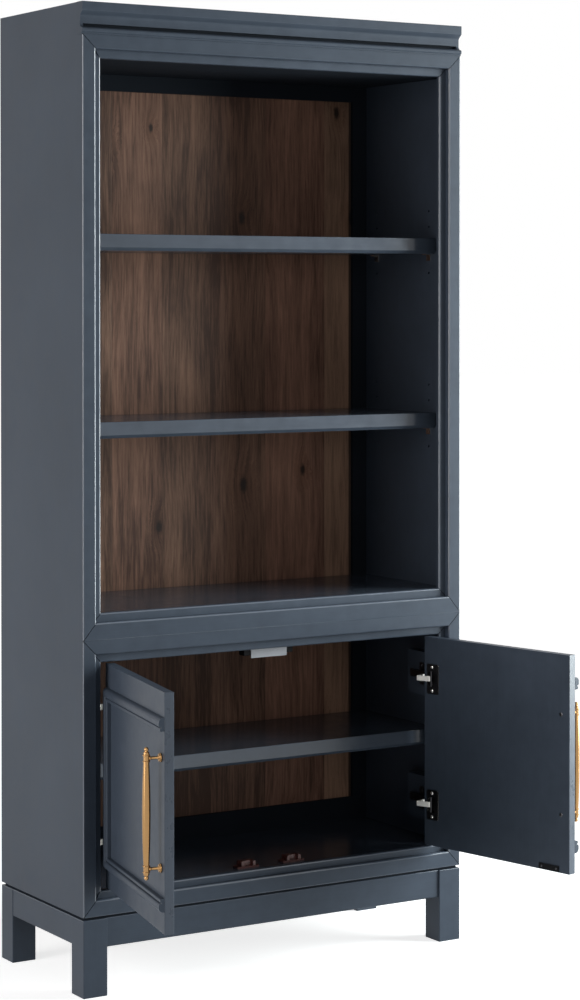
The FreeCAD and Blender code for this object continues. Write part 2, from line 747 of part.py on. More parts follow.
def hinge_arm(z):
    """Winged mounting plate with the arm, a channel open towards the doorway, and its pin."""
    x_web = -OPENING_X + PLATE_T
    half_tail = PLATE_TAIL_H / 2
    y_end = PLATE_Y + PLATE_LENGTH
    y_wing0, y_wing1 = WING_Y - WING_W / 2, WING_Y + WING_W / 2
    cross = [
        (PLATE_Y, z - half_tail, 0), (y_wing0, z - half_tail, 0),
        (y_wing0, z - WING_H / 2, WING_R), (y_wing1, z - WING_H / 2, WING_R),
        (y_wing1, z - half_tail, 0), (y_end, z - half_tail, WING_R),
        (y_end, z + half_tail, WING_R), (y_wing1, z + half_tail, 0),
        (y_wing1, z + WING_H / 2, WING_R), (y_wing0, z + WING_H / 2, WING_R),
        (y_wing0, z + half_tail, 0), (PLATE_Y, z + half_tail, 0),
    ]
    plate = prism("X", cross, -OPENING_X, x_web)
    half_arm = ARM_H / 2
    channel = prism("Y", [
        (x_web, z - half_arm, 0), (x_web + ARM_DEPTH, z - half_arm, 0),
        (x_web + ARM_DEPTH, z - half_arm + ARM_WALL, 0),
        (x_web + ARM_WALL, z - half_arm + ARM_WALL, 0),
        (x_web + ARM_WALL, z + half_arm - ARM_WALL, 0),
        (x_web + ARM_DEPTH, z + half_arm - ARM_WALL, 0),
        (x_web + ARM_DEPTH, z + half_arm, 0), (x_web, z + half_arm, 0)],
        ARM_Y, ARM_Y + ARM_LENGTH)
    pin = Part.makeCylinder(LINK_PIN_R, ARM_H, LINK_PIN + V(0, 0, z - half_arm))
    screws = [Part.makeCylinder(PLATE_SCREW_R, PLATE_SCREW_H, V(x_web, WING_Y, screw_z),
                                V(1, 0, 0))
              for screw_z in (z - PLATE_SCREW_SPACING / 2, z + PLATE_SCREW_SPACING / 2)]
    return plate.fuse([channel, pin] + screws).removeSplitter()


def hinge_link(z):
    """Cranked link: an eye on the arm's pin, a bend round the door's edge, an end at the cup."""
    low = z - LINK_H / 2
    eye = LINK_PIN + V(0, 0, low)
    bend = eye + V(LINK_BEND_OUT, -LINK_BEND_FORWARD, 0)
    end = eye + V(LINK_END_OUT, -LINK_END_FORWARD, 0)
    solids = [Part.makeCylinder(LINK_EYE_R, LINK_H, eye)]
    for one, two in ((eye, bend), (bend, end)):
        run = two - one
        run.normalize()
        across = V(-run.y, run.x, 0) * (LINK_T / 2)
        wire = Part.makePolygon([one + across, two + across, two - across, one - across,
                                 one + across])
        solids.append(Part.Face(wire).extrude(V(0, 0, LINK_H)))
        solids.append(Part.makeCylinder(LINK_T / 2, LINK_H, two))
    link = solids[0].fuse(solids[1:])
    return link.cut(Part.makeCylinder(LINK_HOLE_R, LINK_H, eye)).removeSplitter()


left_blocks = [hinge_block(z) for z in HINGE_HEIGHTS]
save("hinge_blocks", Part.makeCompound(left_blocks + [mirrored(one) for one in left_blocks]))
save_pair("hinge_arms", Part.makeCompound([hinge_arm(z) for z in HINGE_HEIGHTS]))
save_pair("hinge_links", Part.makeCompound([hinge_link(z) for z in HINGE_HEIGHTS]))


# ---- Catches on the cupboard floor, and the stop under its ceiling


CATCH_Y = DOOR_INNER_Y + STRIKE_T + CATCH_GAP
STOP_Y = FRONT + STOP_SET_BACK


def floor_catch(x):
    """Roller catch: a base plate and a housing with a slot open towards the door."""
    z0 = CUPBOARD_FLOOR_TOP
    base = prism("Z", [
        (x - CATCH_W / 2, CATCH_Y, CATCH_R), (x + CATCH_W / 2, CATCH_Y, CATCH_R),
        (x + CATCH_W / 2, CATCH_Y + CATCH_D, CATCH_R),
        (x - CATCH_W / 2, CATCH_Y + CATCH_D, CATCH_R)], z0, z0 + CATCH_BASE_H)
    housing = prism("Y", [
        (x - CATCH_HOUSING_W / 2, z0, 0), (x + CATCH_HOUSING_W / 2, z0, 0),
        (x + CATCH_HOUSING_W / 2, z0 + CATCH_H, CATCH_R),
        (x - CATCH_HOUSING_W / 2, z0 + CATCH_H, CATCH_R)], CATCH_Y, CATCH_Y + CATCH_D)
    slot = board(x - CATCH_SLOT_W / 2, x + CATCH_SLOT_W / 2, CATCH_Y,
                 CATCH_Y + CATCH_SLOT_D, z0 + CATCH_BASE_H, z0 + CATCH_H)
    return base.fuse(housing).cut(slot).removeSplitter()


def stop_bracket():
    """Angle plate screwed under the ceiling, its drop facing the doors."""
    z = CUPBOARD_CEILING_LOW
    return prism("X", [
        (STOP_Y, z, 0), (STOP_Y, z - STOP_DROP, 0), (STOP_Y + STOP_METAL, z - STOP_DROP, 0),
        (STOP_Y + STOP_METAL, z - STOP_METAL, 0),
        (STOP_Y + STOP_FLANGE_D, z - STOP_METAL, 0), (STOP_Y + STOP_FLANGE_D, z, 0)],
        -STOP_HALF_W, STOP_HALF_W)


def stop_body():
    """Buffer block held behind the bracket's drop."""
    z = CUPBOARD_CEILING_LOW - STOP_METAL
    y0 = STOP_Y + STOP_METAL
    return prism("X", [
        (y0, z, 0), (y0, z - STOP_BODY_H, CATCH_R),
        (y0 + STOP_BODY_D, z - STOP_BODY_H, CATCH_R), (y0 + STOP_BODY_D, z, 0)],
        -STOP_BODY_HALF_W, STOP_BODY_HALF_W)


save("floor_catches", Part.makeCompound([floor_catch(STRIKE_X), floor_catch(-STRIKE_X)]))
save("stop_bracket", stop_bracket())
save("stop_body", stop_body())
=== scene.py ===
"""Tall bookcase with a two-door cupboard: finishes, eased joinery, turned pulls, screws, studio.

Metres, +Z up. The origin is on the floor under the middle of the case's front face.
"""

import json
import math

import bmesh
import bpy
from mathutils import Euler, Matrix, Vector


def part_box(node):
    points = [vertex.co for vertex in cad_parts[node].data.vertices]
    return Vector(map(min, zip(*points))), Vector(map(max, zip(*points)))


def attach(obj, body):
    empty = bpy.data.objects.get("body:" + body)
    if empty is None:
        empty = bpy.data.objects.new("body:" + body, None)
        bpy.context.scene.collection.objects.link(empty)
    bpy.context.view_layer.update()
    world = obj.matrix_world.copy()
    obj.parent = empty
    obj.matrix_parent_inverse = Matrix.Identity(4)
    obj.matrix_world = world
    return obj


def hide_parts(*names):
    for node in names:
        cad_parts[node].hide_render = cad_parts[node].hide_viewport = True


bl_info = {
    "name": "Bookcase with cabinet doors",
    "version": (1, 0, 0),
    "blender": (4, 5, 0),
    "location": "3D View > Sidebar > Bookcase",
    "description": "Finishes a bookcase with paint, walnut, turned pulls, screws and a studio",
    "category": "Object",
}

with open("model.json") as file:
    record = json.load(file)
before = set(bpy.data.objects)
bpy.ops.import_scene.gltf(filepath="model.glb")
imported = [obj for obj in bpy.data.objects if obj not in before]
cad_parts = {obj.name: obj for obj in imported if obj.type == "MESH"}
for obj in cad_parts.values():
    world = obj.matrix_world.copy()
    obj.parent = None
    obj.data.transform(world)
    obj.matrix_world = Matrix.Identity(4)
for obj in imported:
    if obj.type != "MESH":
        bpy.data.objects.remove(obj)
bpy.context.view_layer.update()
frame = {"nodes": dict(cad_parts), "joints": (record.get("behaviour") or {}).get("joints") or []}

MM = 0.001
DOOR_OPEN = math.radians(102.0)

SIDES = ("left", "right")
UPRIGHT = (0.0, 0.0, 1.0)
ACROSS = (1.0, 0.0, 0.0)
DEEP = (0.0, 1.0, 0.0)


# ---- Sizes and colours a user would change

TONE = {"subtype": "COLOR", "size": 3, "min": 0.0, "max": 1.0}
SHARE = {"subtype": "FACTOR", "min": 0.0, "max": 1.0}
POWER = {"unit": "POWER", "min": 0.0, "max": 2000.0}


class BookcasePaint(bpy.types.PropertyGroup):
    """Painted boards, frames and doors."""

    colour: bpy.props.FloatVectorProperty(
        name="Paint colour", description="Colour of the painted wood",
        default=(0.043, 0.055, 0.075), **TONE)
    roughness: bpy.props.FloatProperty(
        name="Paint roughness", description="How matt the painted wood is",
        default=0.40, **SHARE)
    mottle: bpy.props.FloatProperty(
        name="Mottling", description="Strength of the cloudy tone changes in the paint",
        default=0.22, **SHARE)
    grain: bpy.props.FloatProperty(
        name="Grain", description="Strength of the wood grain that shows through the paint",
        default=0.25, **SHARE)
    arris: bpy.props.FloatProperty(
        name="Eased edge", description="Width of the eased edges on the painted pieces",
        unit="LENGTH", min=0.0, max=0.002, default=0.0009)
    outer_round: bpy.props.FloatProperty(
        name="Corner round", description="Radius of the stiles' outer corners",
        unit="LENGTH", min=0.0002, max=0.006, default=0.0018)
    inner_round: bpy.props.FloatProperty(
        name="Inner round", description="Radius of the face frames' inner edges",
        unit="LENGTH", min=0.0002, max=0.01, default=0.0034)
    lip_round: bpy.props.FloatProperty(
        name="Lip round", description="Radius of the inner edge of the face frames' lips",
        unit="LENGTH", min=0.0002, max=0.008, default=0.0030)
    joint: bpy.props.FloatProperty(
        name="Mitre groove", description="Depth of the fine groove at the frames' mitres",
        unit="LENGTH", min=0.0002, max=0.003, default=0.0009)


class BookcaseWalnut(bpy.types.PropertyGroup):
    """Walnut boards of the back."""

    dark: bpy.props.FloatVectorProperty(
        name="Dark grain", description="Darkest tone of the walnut",
        default=(0.060, 0.032, 0.023), **TONE)
    light: bpy.props.FloatVectorProperty(
        name="Light grain", description="Lightest tone of the walnut",
        default=(0.318, 0.184, 0.130), **TONE)
    board_width: bpy.props.FloatProperty(
        name="Board width", description="Average width of the upright boards",
        unit="LENGTH", min=0.02, max=0.4, default=0.115)
    roughness: bpy.props.FloatProperty(
        name="Walnut roughness", description="How matt the oiled walnut is",
        default=0.5, **SHARE)


class BookcaseMetals(bpy.types.PropertyGroup):
    """Pulls, hinges and small fittings."""

    brass: bpy.props.FloatVectorProperty(
        name="Brass colour", description="Colour of the satin brass",
        default=(0.335, 0.195, 0.084), **TONE)
    brass_roughness: bpy.props.FloatProperty(
        name="Brass roughness", description="How satin the brass is",
        default=0.22, **SHARE)
    nickel: bpy.props.FloatVectorProperty(
        name="Nickel colour", description="Colour of the hinge metal",
        default=(0.62, 0.61, 0.58), **TONE)
    screw_radius: bpy.props.FloatProperty(
        name="Screw head radius", description="Radius of a hinge screw's head",
        unit="LENGTH", min=0.001, max=0.01, default=0.0039)
    screw_height: bpy.props.FloatProperty(
        name="Screw head height", description="Height of a hinge screw's head",
        unit="LENGTH", min=0.0005, max=0.005, default=0.0019)


class BookcasePulls(bpy.types.PropertyGroup):
    """Turned bars and their posts."""

    length: bpy.props.FloatProperty(
        name="Bar length", description="Length of the bar with its finials",
        unit="LENGTH", min=0.05, max=0.6, default=0.236)
    spacing: bpy.props.FloatProperty(
        name="Post spacing", description="Distance between the posts",
        unit="LENGTH", min=0.03, max=0.5, default=0.196)
    stand: bpy.props.FloatProperty(
        name="Stand", description="Distance of the bar's axis from the door",
        unit="LENGTH", min=0.01, max=0.08, default=0.0274)
    segments: bpy.props.IntProperty(
        name="Segments", description="Faces round each turned piece",
        min=8, max=96, default=40)


class BookcaseStudio(bpy.types.PropertyGroup):
    """Floor, lights and camera."""

    floor: bpy.props.FloatVectorProperty(
        name="Floor colour", description="Colour of the studio floor",
        default=(0.86, 0.86, 0.86), **TONE)
    key: bpy.props.FloatProperty(
        name="Key light", description="Power of the large soft light at the front right",
        default=96.0, **POWER)
    fill: bpy.props.FloatProperty(
        name="Fill light", description="Power of the soft light at the left",
        default=50.0, **POWER)
    front: bpy.props.FloatProperty(
        name="Front light", description="Power of the weak light in front",
        default=27.0, **POWER)
    ambient: bpy.props.FloatProperty(
        name="Ambient light", description="Strength of the even light from all round",
        min=0.0, max=2.0, default=0.05)


SETTINGS = (
    ("bookcase_paint", BookcasePaint),
    ("bookcase_walnut", BookcaseWalnut),
    ("bookcase_metals", BookcaseMetals),
    ("bookcase_pulls", BookcasePulls),
    ("bookcase_studio", BookcaseStudio),
)


# ---- Node helpers


def socket_of(sockets, key):
    """Socket by place, by identifier or by name."""
    if isinstance(key, int):
        return sockets[key]
    for socket in sockets:
        if socket.identifier == key:
            return socket
    return sockets[key]


def place(tree, kind, inputs=None, **settings):
    """Adds a node; an input's value is a number, a colour or another node's output."""
    node = tree.nodes.new(kind)
    for name, value in settings.items():
        setattr(node, name, value)
    for key, value in (inputs or {}).items():
        socket = socket_of(node.inputs, key)
        if isinstance(value, bpy.types.NodeSocket):
            tree.links.new(value, socket)
        else:
            socket.default_value = value
    return node


def made(tree, kind, inputs=None, **settings):
    """First output of an added node."""
    return place(tree, kind, inputs, **settings).outputs[0]


def calc(tree, operation, *values):
    """Math node's result."""
    return made(tree, "ShaderNodeMath", dict(enumerate(values)), operation=operation)


def vector_calc(tree, operation, *values):
    """Vector Math node's vector."""
    return made(tree, "ShaderNodeVectorMath", dict(enumerate(values)), operation=operation)


def times(tree, value, share):
    return calc(tree, "MULTIPLY", value, share)


def added(tree, base, value, share):
    """Base plus a share of a value."""
    return calc(tree, "MULTIPLY_ADD", value, share, base)


def centred(tree, value):
    """Value about nought, from one about a half."""
    return calc(tree, "SUBTRACT", value, 0.5)


def weighed(tree, *pairs):
    """Sum of (value, weight) pairs."""
    (value, weight), *others = pairs
    total = times(tree, value, weight)
    for value, weight in others:
        total = added(tree, total, value, weight)
    return total


def combined(tree, x=0.0, y=0.0, z=0.0):
    """Vector from its parts."""
    return made(tree, "ShaderNodeCombineXYZ", {"X": x, "Y": y, "Z": z})


def parts_of(tree, vector):
    """X, Y and Z of a vector."""
    return tuple(place(tree, "ShaderNodeSeparateXYZ", {0: vector}).outputs)


def shades_of(tree, colour):
    """Red, green and blue of a colour, as three unlike numbers."""
    return tuple(place(tree, "ShaderNodeSeparateColor", {0: colour}).outputs)


def length_of(tree, vector):
    node = place(tree, "ShaderNodeVectorMath", {0: vector}, operation="LENGTH")
    return node.outputs["Value"]


def remap(tree, value, low, high, to_low=0.0, to_high=1.0, smooth=True):
    """Value from one range to another, clamped, with soft ends."""
    return made(tree, "ShaderNodeMapRange", {
        "Value": value, "From Min": low, "From Max": high, "To Min": to_low, "To Max": to_high,
    }, interpolation_type="SMOOTHSTEP" if smooth else "LINEAR")


def mix(tree, factor, first, second, blend="MIX"):
    """Mixed colour."""
    node = place(tree, "ShaderNodeMix", {
        "Factor_Float": factor, "A_Color": first, "B_Color": second,
    }, data_type="RGBA", blend_type=blend)
    return socket_of(node.outputs, "Result_Color")


def noise(tree, vector, scale, detail, roughness, press=1.0):
    """Noise whose pattern is drawn out along Z where press is under 1."""
    if press != 1.0:
        vector = vector_calc(tree, "MULTIPLY", vector, (1.0, 1.0, press))
    return made(tree, "ShaderNodeTexNoise", {
        "Vector": vector, "Scale": scale, "Detail": detail, "Roughness": roughness})


def new_group(name, kind, inputs, outputs):
    """Node group with (name, type) or (name, type, value) sockets, and its input and output."""
    tree = bpy.data.node_groups.new(name, kind)
    for side, sockets in (("INPUT", inputs), ("OUTPUT", outputs)):
        for label, socket_type, *value in sockets:
            socket = tree.interface.new_socket(label, in_out=side, socket_type=socket_type)
            if value:
                socket.default_value, = value
    given = tree.nodes.new("NodeGroupInput").outputs
    result = tree.nodes.new("NodeGroupOutput").inputs
    return tree, given, result


def put_out(tree, result, **values):
    """Links values to a group's outputs."""
    for name, value in values.items():
        tree.links.new(value, result[name])


FLOAT, COLOUR, VECTOR = "NodeSocketFloat", "NodeSocketColor", "NodeSocketVector"
GEOMETRY, WHOLE, FINISH = "NodeSocketGeometry", "NodeSocketInt", "NodeSocketMaterial"


# ---- Effects that several finishes share


def surface_group(name, inputs):
    """Shader group that takes coordinates and puts out colour, roughness and height."""
    return new_group(
        name, "ShaderNodeTree", [("Vector", VECTOR), *inputs],
        [("Colour", COLOUR), ("Roughness", FLOAT), ("Height", FLOAT)])


def painted_grain_group():
    """Sprayed paint over wood: cloudy tone, faint grain along Z, fine orange peel."""
    tree, given, result = surface_group("Painted grain", [
        ("Colour", COLOUR), ("Mottle", FLOAT, 0.2), ("Grain", FLOAT, 0.2),
        ("Roughness", FLOAT, 0.4)])
    vector = given["Vector"]
    cloud = noise(tree, vector, 5.0, 3.0, 0.55)
    patch = noise(tree, vector, 38.0, 3.0, 0.6)
    fibre = noise(tree, vector, 420.0, 3.0, 0.65, press=0.035)
    streak = noise(tree, vector, 70.0, 4.0, 0.6, press=0.06)
    peel = noise(tree, vector, 620.0, 2.0, 0.5)
    clouds = weighed(tree, (cloud, 0.6), (patch, 0.4))
    lines = weighed(tree, (fibre, 0.6), (streak, 0.4))
    tone = times(tree, centred(tree, clouds), given["Mottle"])
    drawn = times(tree, centred(tree, lines), given["Grain"])
    gain = calc(tree, "ADD", added(tree, 1.0, tone, 3.0), times(tree, drawn, 1.2))
    rough = added(tree, given["Roughness"], centred(tree, patch), 0.22)
    put_out(tree, result, Colour=mix(tree, 1.0, given["Colour"], gain, "MULTIPLY"),
            Roughness=added(tree, rough, drawn, 0.4),
            Height=weighed(tree, (peel, 0.3), (drawn, 1.4)))


def fine_wear_group():
    """Rubbed metal or plastic: hair scratches, finger marks and a slight tone change."""
    tree, given, result = surface_group("Fine wear", [
        ("Colour", COLOUR), ("Roughness", FLOAT, 0.3),
        ("Along", VECTOR, (1.0, 1.0, 0.1)), ("Amount", FLOAT, 0.5)])
    drawn = vector_calc(tree, "MULTIPLY", given["Vector"], given["Along"])
    hairs = noise(tree, drawn, 1400.0, 3.0, 0.7)
    marks = noise(tree, given["Vector"], 90.0, 3.0, 0.6)
    uneven = weighed(tree, (hairs, 0.55), (marks, 0.45))
    swing = times(tree, centred(tree, uneven), given["Amount"])
    gain = added(tree, 1.0, swing, 0.5)
    put_out(tree, result, Colour=mix(tree, 1.0, given["Colour"], gain, "MULTIPLY"),
            Roughness=added(tree, given["Roughness"], swing, 0.5),
            Height=times(tree, hairs, given["Amount"]))


# Walnut: tints that multiply the wood, tones that cover it (the last a painted shade beside the
# back stiles), and where its row of boards starts
RUDDY, OLIVE = (1.10, 0.90, 0.86, 1.0), (0.93, 1.02, 0.88, 1.0)
PORE_TINT, RING_TINT = (0.45, 0.38, 0.34, 1.0), (0.50, 0.42, 0.36, 1.0)
KNOT_TONE, STILE_SHADE_TONE = (0.010, 0.006, 0.005, 1.0), (0.004, 0.004, 0.005, 1.0)
FIRST_BOARD = 40.37


def walnut_boards_group():
    """Upright boards of uneven width, each with its own tone, soft streaks and a few knots, with
    painted shade beside the back stiles.
    """
    tree, given, result = surface_group("Walnut boards", [
        ("Dark", COLOUR), ("Light", COLOUR), ("Board width", FLOAT, 0.1),
        ("Roughness", FLOAT, 0.5), ("Half width", FLOAT, 0.4)])
    x, y, z = parts_of(tree, given["Vector"])
    across = calc(tree, "ADD", calc(tree, "DIVIDE", x, given["Board width"]), FIRST_BOARD)
    cell, edge = (place(tree, "ShaderNodeTexVoronoi", {
        "W": across, "Scale": 1.0, "Randomness": 0.8},
        voronoi_dimensions="1D", feature=kind).outputs for kind in ("F1", "DISTANCE_TO_EDGE"))
    tone, slide, lean = shades_of(tree, cell["Color"])
    joint = remap(tree, edge["Distance"], 0.0, 0.012, 1.0, 0.0)

    # Each board is cut from another place in the log, and the grain flows round the knots
    moved = combined(tree, added(tree, x, lean, 3.7), y, added(tree, z, slide, 5.3))
    spot_x, _, spot_z = parts_of(tree, vector_calc(tree, "MULTIPLY", moved, (6.2, 0.0, 3.1)))
    knots = place(tree, "ShaderNodeTexVoronoi", {
        "Vector": combined(tree, spot_x, spot_z), "Scale": 1.0},
        voronoi_dimensions="2D", feature="F1").outputs
    chance, size, _ = shades_of(tree, knots["Color"])
    present = remap(tree, chance, 0.32, 0.36)
    reach = added(tree, 0.034, size, 0.035)
    ragged = added(tree, 0.55, noise(tree, moved, 130.0, 3.0, 0.6), 0.9)
    near = times(tree, calc(tree, "DIVIDE", knots["Distance"], reach), ragged)
    knot = times(tree, remap(tree, near, 0.35, 1.15, 1.0, 0.0), present)
    halo = times(tree, remap(tree, near, 0.6, 4.0, 1.0, 0.0), present)
    sway = noise(tree, moved, 8.0, 2.0, 0.5, press=0.30)
    swayed = vector_calc(tree, "ADD", moved,
                         combined(tree, weighed(tree, (sway, 0.030), (halo, 0.010))))
    broad = noise(tree, swayed, 17.0, 3.0, 0.5, press=0.09)
    streak = noise(tree, swayed, 85.0, 4.0, 0.6, press=0.06)
    fibre = noise(tree, swayed, 250.0, 3.0, 0.7, press=0.05)
    cloud = noise(tree, moved, 6.0, 3.0, 0.55, press=0.6)
    pore = remap(tree, noise(tree, swayed, 950.0, 2.0, 0.6, press=0.05), 0.62, 0.74)

    figure = weighed(tree, (broad, 0.26), (streak, 0.22), (fibre, 0.32), (cloud, 0.20))
    figure = remap(tree, figure, 0.39, 0.61, smooth=False)
    board = added(tree, figure, centred(tree, tone), 0.75)
    # Painted shade: the wood turns near black within a few millimetres of the back stiles
    inset = calc(tree, "SUBTRACT", given["Half width"], calc(tree, "ABSOLUTE", x))
    painted_stile_shade = remap(tree, inset, 0.0045, 0.0075, 1.0, 0.0)
    wood = mix(tree, board, given["Dark"], given["Light"])
    for mask, strength, colour, blend in (
            (slide, 0.55, RUDDY, "MULTIPLY"),
            (calc(tree, "SUBTRACT", 1.0, slide), 0.45, OLIVE, "MULTIPLY"),
            (pore, 0.55, PORE_TINT, "MULTIPLY"), (halo, 0.45, RING_TINT, "MULTIPLY"),
            (knot, 0.95, KNOT_TONE, "MIX"), (joint, 0.22, KNOT_TONE, "MIX"),
            (painted_stile_shade, 0.85, STILE_SHADE_TONE, "MIX")):
        wood = mix(tree, times(tree, mask, strength), wood, colour, blend)
    put_out(tree, result, Colour=wood,
            Roughness=added(tree, given["Roughness"], centred(tree, fibre), 0.30),
            Height=weighed(tree, (fibre, 0.35), (pore, -0.5), (joint, -1.5)))


# ---- Finishes


def opaque(colour):
    return (*colour, 1.0)


def object_vector(tree, along):
    """Object coordinates, turned so that a pattern along Z runs along the given axis."""
    turn = Vector(along).rotation_difference(Vector(UPRIGHT)).to_euler()
    where = tree.nodes.new("ShaderNodeTexCoord").outputs["Object"]
    return made(tree, "ShaderNodeMapping", {"Vector": where, "Rotation": turn})


# Strength and distance of the relief, and the low sheen of worn paint and oiled wood
PAINT_BUMP, WALNUT_BUMP, WEAR_DEPTH = (0.25, 0.3 * MM), (0.30, 0.4 * MM), 0.2 * MM
LOW_SHEEN = 0.14


def make_finish(name, effect, inputs, bump, sockets, solid_colour, along=UPRIGHT):
    """Material whose colour, roughness and height come from a shared effect.

    Bump is its (strength, distance), sockets are plain values of the shader itself, and the
    solid colour shows in solid view.
    """
    material = bpy.data.materials.new(name)
    material.use_nodes = True
    material.diffuse_color = opaque(solid_colour)
    tree = material.node_tree
    surface = place(tree, "ShaderNodeGroup", {"Vector": object_vector(tree, along), **inputs},
                    node_tree=bpy.data.node_groups[effect]).outputs
    strength, distance = bump
    normal = made(tree, "ShaderNodeBump", {
        "Height": surface["Height"], "Strength": strength, "Distance": distance})
    shader = tree.nodes["Principled BSDF"].inputs
    tree.links.new(surface["Colour"], shader["Base Color"])
    tree.links.new(surface["Roughness"], shader["Roughness"])
    tree.links.new(normal, shader["Normal"])
    for socket, value in sockets.items():
        shader[socket].default_value = value


def paint_material(name, along, depth=1.0, sheen=LOW_SHEEN, smoothing=0.0):
    """Painted wood; depth scales its tone, for painted highlight or shade, and smoothing takes
    roughness off.
    """
    settings = bpy.context.scene.bookcase_paint
    colour = [part * depth for part in settings.colour]
    make_finish(name, "Painted grain", {
        "Colour": opaque(colour), "Mottle": settings.mottle, "Grain": settings.grain,
        "Roughness": settings.roughness - smoothing},
        PAINT_BUMP, {"Specular IOR Level": sheen}, colour, along)


def walnut_material():
    settings = bpy.context.scene.bookcase_walnut
    make_finish("Oiled walnut", "Walnut boards", {
        "Dark": opaque(settings.dark), "Light": opaque(settings.light),
        "Board width": settings.board_width, "Roughness": settings.roughness,
        "Half width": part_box("right_back_stile")[0].x},
        WALNUT_BUMP, {"Specular IOR Level": LOW_SHEEN}, settings.light)


def worn_material(name, colour, roughness, metallic, along, amount, bump=0.15, sockets=None):
    """Metal or plastic with fine wear, whose scratches run where along is small."""
    make_finish(name, "Fine wear", {
        "Colour": opaque(colour), "Roughness": roughness, "Along": along, "Amount": amount},
        (bump, WEAR_DEPTH), {"Metallic": metallic, **(sockets or {})}, colour)


# Ways in which scratches run: up a bar, up a plate, and every way
UP_BAR, UP_PLATE, EVERY_WAY = (1.0, 1.0, 0.35), (1.0, 1.0, 0.2), (1.0, 1.0, 1.0)


def make_materials():
    metals = bpy.context.scene.bookcase_metals
    painted_grain_group()
    fine_wear_group()
    walnut_boards_group()
    sweep, lean = math.sin(DOOR_OPEN), math.cos(DOOR_OPEN)
    for name, along in (
            ("Paint upright", UPRIGHT), ("Paint across", ACROSS), ("Paint deep", DEEP),
            ("Paint left door rails", (lean, -sweep, 0.0)),
            ("Paint right door rails", (-lean, -sweep, 0.0))):
        paint_material(name, along)
    # Painted shade: the paint at a quarter of its tone, rougher and with little sheen, for the
    # crown groove, the mitre grooves, the gap above the base, the ceilings and the back frame
    for name, along in (("Dark paint upright", UPRIGHT), ("Dark paint across", ACROSS)):
        paint_material(name, along, depth=0.24, sheen=0.05, smoothing=-0.35)
    # Painted highlight: the paint at one and a half times its tone, glossier, for eased edges and
    # the frames' step walls
    paint_material("Rubbed paint", UPRIGHT, depth=1.5, sheen=0.9, smoothing=0.20)
    paint_material("Satin paint across", ACROSS, sheen=0.5, smoothing=0.20)
    # Painted highlight: the paint at 1.3 times its tone, glossier, for the doors' free edges
    paint_material("Edge paint", UPRIGHT, depth=1.3, sheen=0.35, smoothing=0.10)
    walnut_material()

    # Colour, roughness, share of metal, way of the scratches, amount of wear, and bump
    worn_material("Satin brass", metals.brass, metals.brass_roughness, 1.0, UP_BAR, 0.3, 0.05)
    worn_material("Nickel plate", metals.nickel, 0.24, 1.0, UP_PLATE, 0.5)
    # Lit and shaded copies of the nickel: darkened as painted shade, and lightened as painted
    # highlight
    worn_material("Dark nickel", (0.060, 0.060, 0.064), 0.34, 1.0, UP_PLATE, 0.5)
    worn_material("Bright nickel", (0.82, 0.80, 0.75), 0.45, 0.6, UP_PLATE, 0.5)
    worn_material("Amber plastic", (0.11, 0.030, 0.024), 0.28, 0.0, EVERY_WAY, 0.4, sockets={
        "Transmission Weight": 0.30, "Specular IOR Level": 0.35, "IOR": 1.49})
    worn_material("Grey enamel", (0.36, 0.37, 0.40), 0.38, 0.0, EVERY_WAY, 0.35, 0.3)
    worn_material("Black plastic", (0.006, 0.006, 0.007), 0.42, 0.0, EVERY_WAY, 0.4, 0.4,
                  {"Specular IOR Level": 0.08})


def coat(piece, finish):
    """Gives every slot of a piece one finish."""
    material = bpy.data.materials[finish]
    if not piece.data.materials:
        piece.data.materials.append(material)
    for index in range(len(piece.data.materials)):
        piece.data.materials[index] = material


# ---- Turning CAD nodes into pieces with eased edges

# Places of an eased piece's finishes (plain, painted highlight, extra), and what counts as one
# point, as flat and as a corner
PLAIN, PAINTED_HIGHLIGHT, EXTRA = 0, 1, 2
WELD = 0.002 * MM
FLAT = math.radians(1.0)
CORNER = math.radians(30.0)


def add_object(name, data):
    thing = bpy.data.objects.new(name, data)
    bpy.context.scene.collection.objects.link(thing)
    return thing


def settle(draft, name, finish=None):
    """Plain mesh of a draft with its modifiers, as a new piece; the draft goes."""
    graph = bpy.context.evaluated_depsgraph_get()
    mesh = bpy.data.meshes.new_from_object(draft.evaluated_get(graph),
                                           preserve_all_data_layers=True, depsgraph=graph)
    carrier = draft.data
    bpy.data.objects.remove(draft)
    kept_in = bpy.data.meshes if isinstance(carrier, bpy.types.Mesh) else bpy.data.curves
    if carrier.users == 0:
        kept_in.remove(carrier)
    if not mesh.polygons:
        raise RuntimeError(name + " came out empty")
    mesh.name = name
    piece = add_object(name, mesh)
    if finish:
        coat(piece, finish)
    return piece


def merged_copy(node):
    """Bmesh of a CAD node with its loose triangles joined into whole faces."""
    shape = bmesh.new()
    shape.from_mesh(frame["nodes"][node].data)
    bmesh.ops.remove_doubles(shape, verts=shape.verts, dist=WELD)
    bmesh.ops.dissolve_limit(shape, angle_limit=FLAT, verts=shape.verts, edges=shape.edges)
    return shape


def draft_of(shape, name, finishes):
    """Object from a finished bmesh, with its finishes in order."""
    mesh = bpy.data.meshes.new(name)
    shape.to_mesh(mesh)
    shape.free()
    for finish in finishes:
        mesh.materials.append(bpy.data.materials[finish])
    return add_object(name + "_draft", mesh)


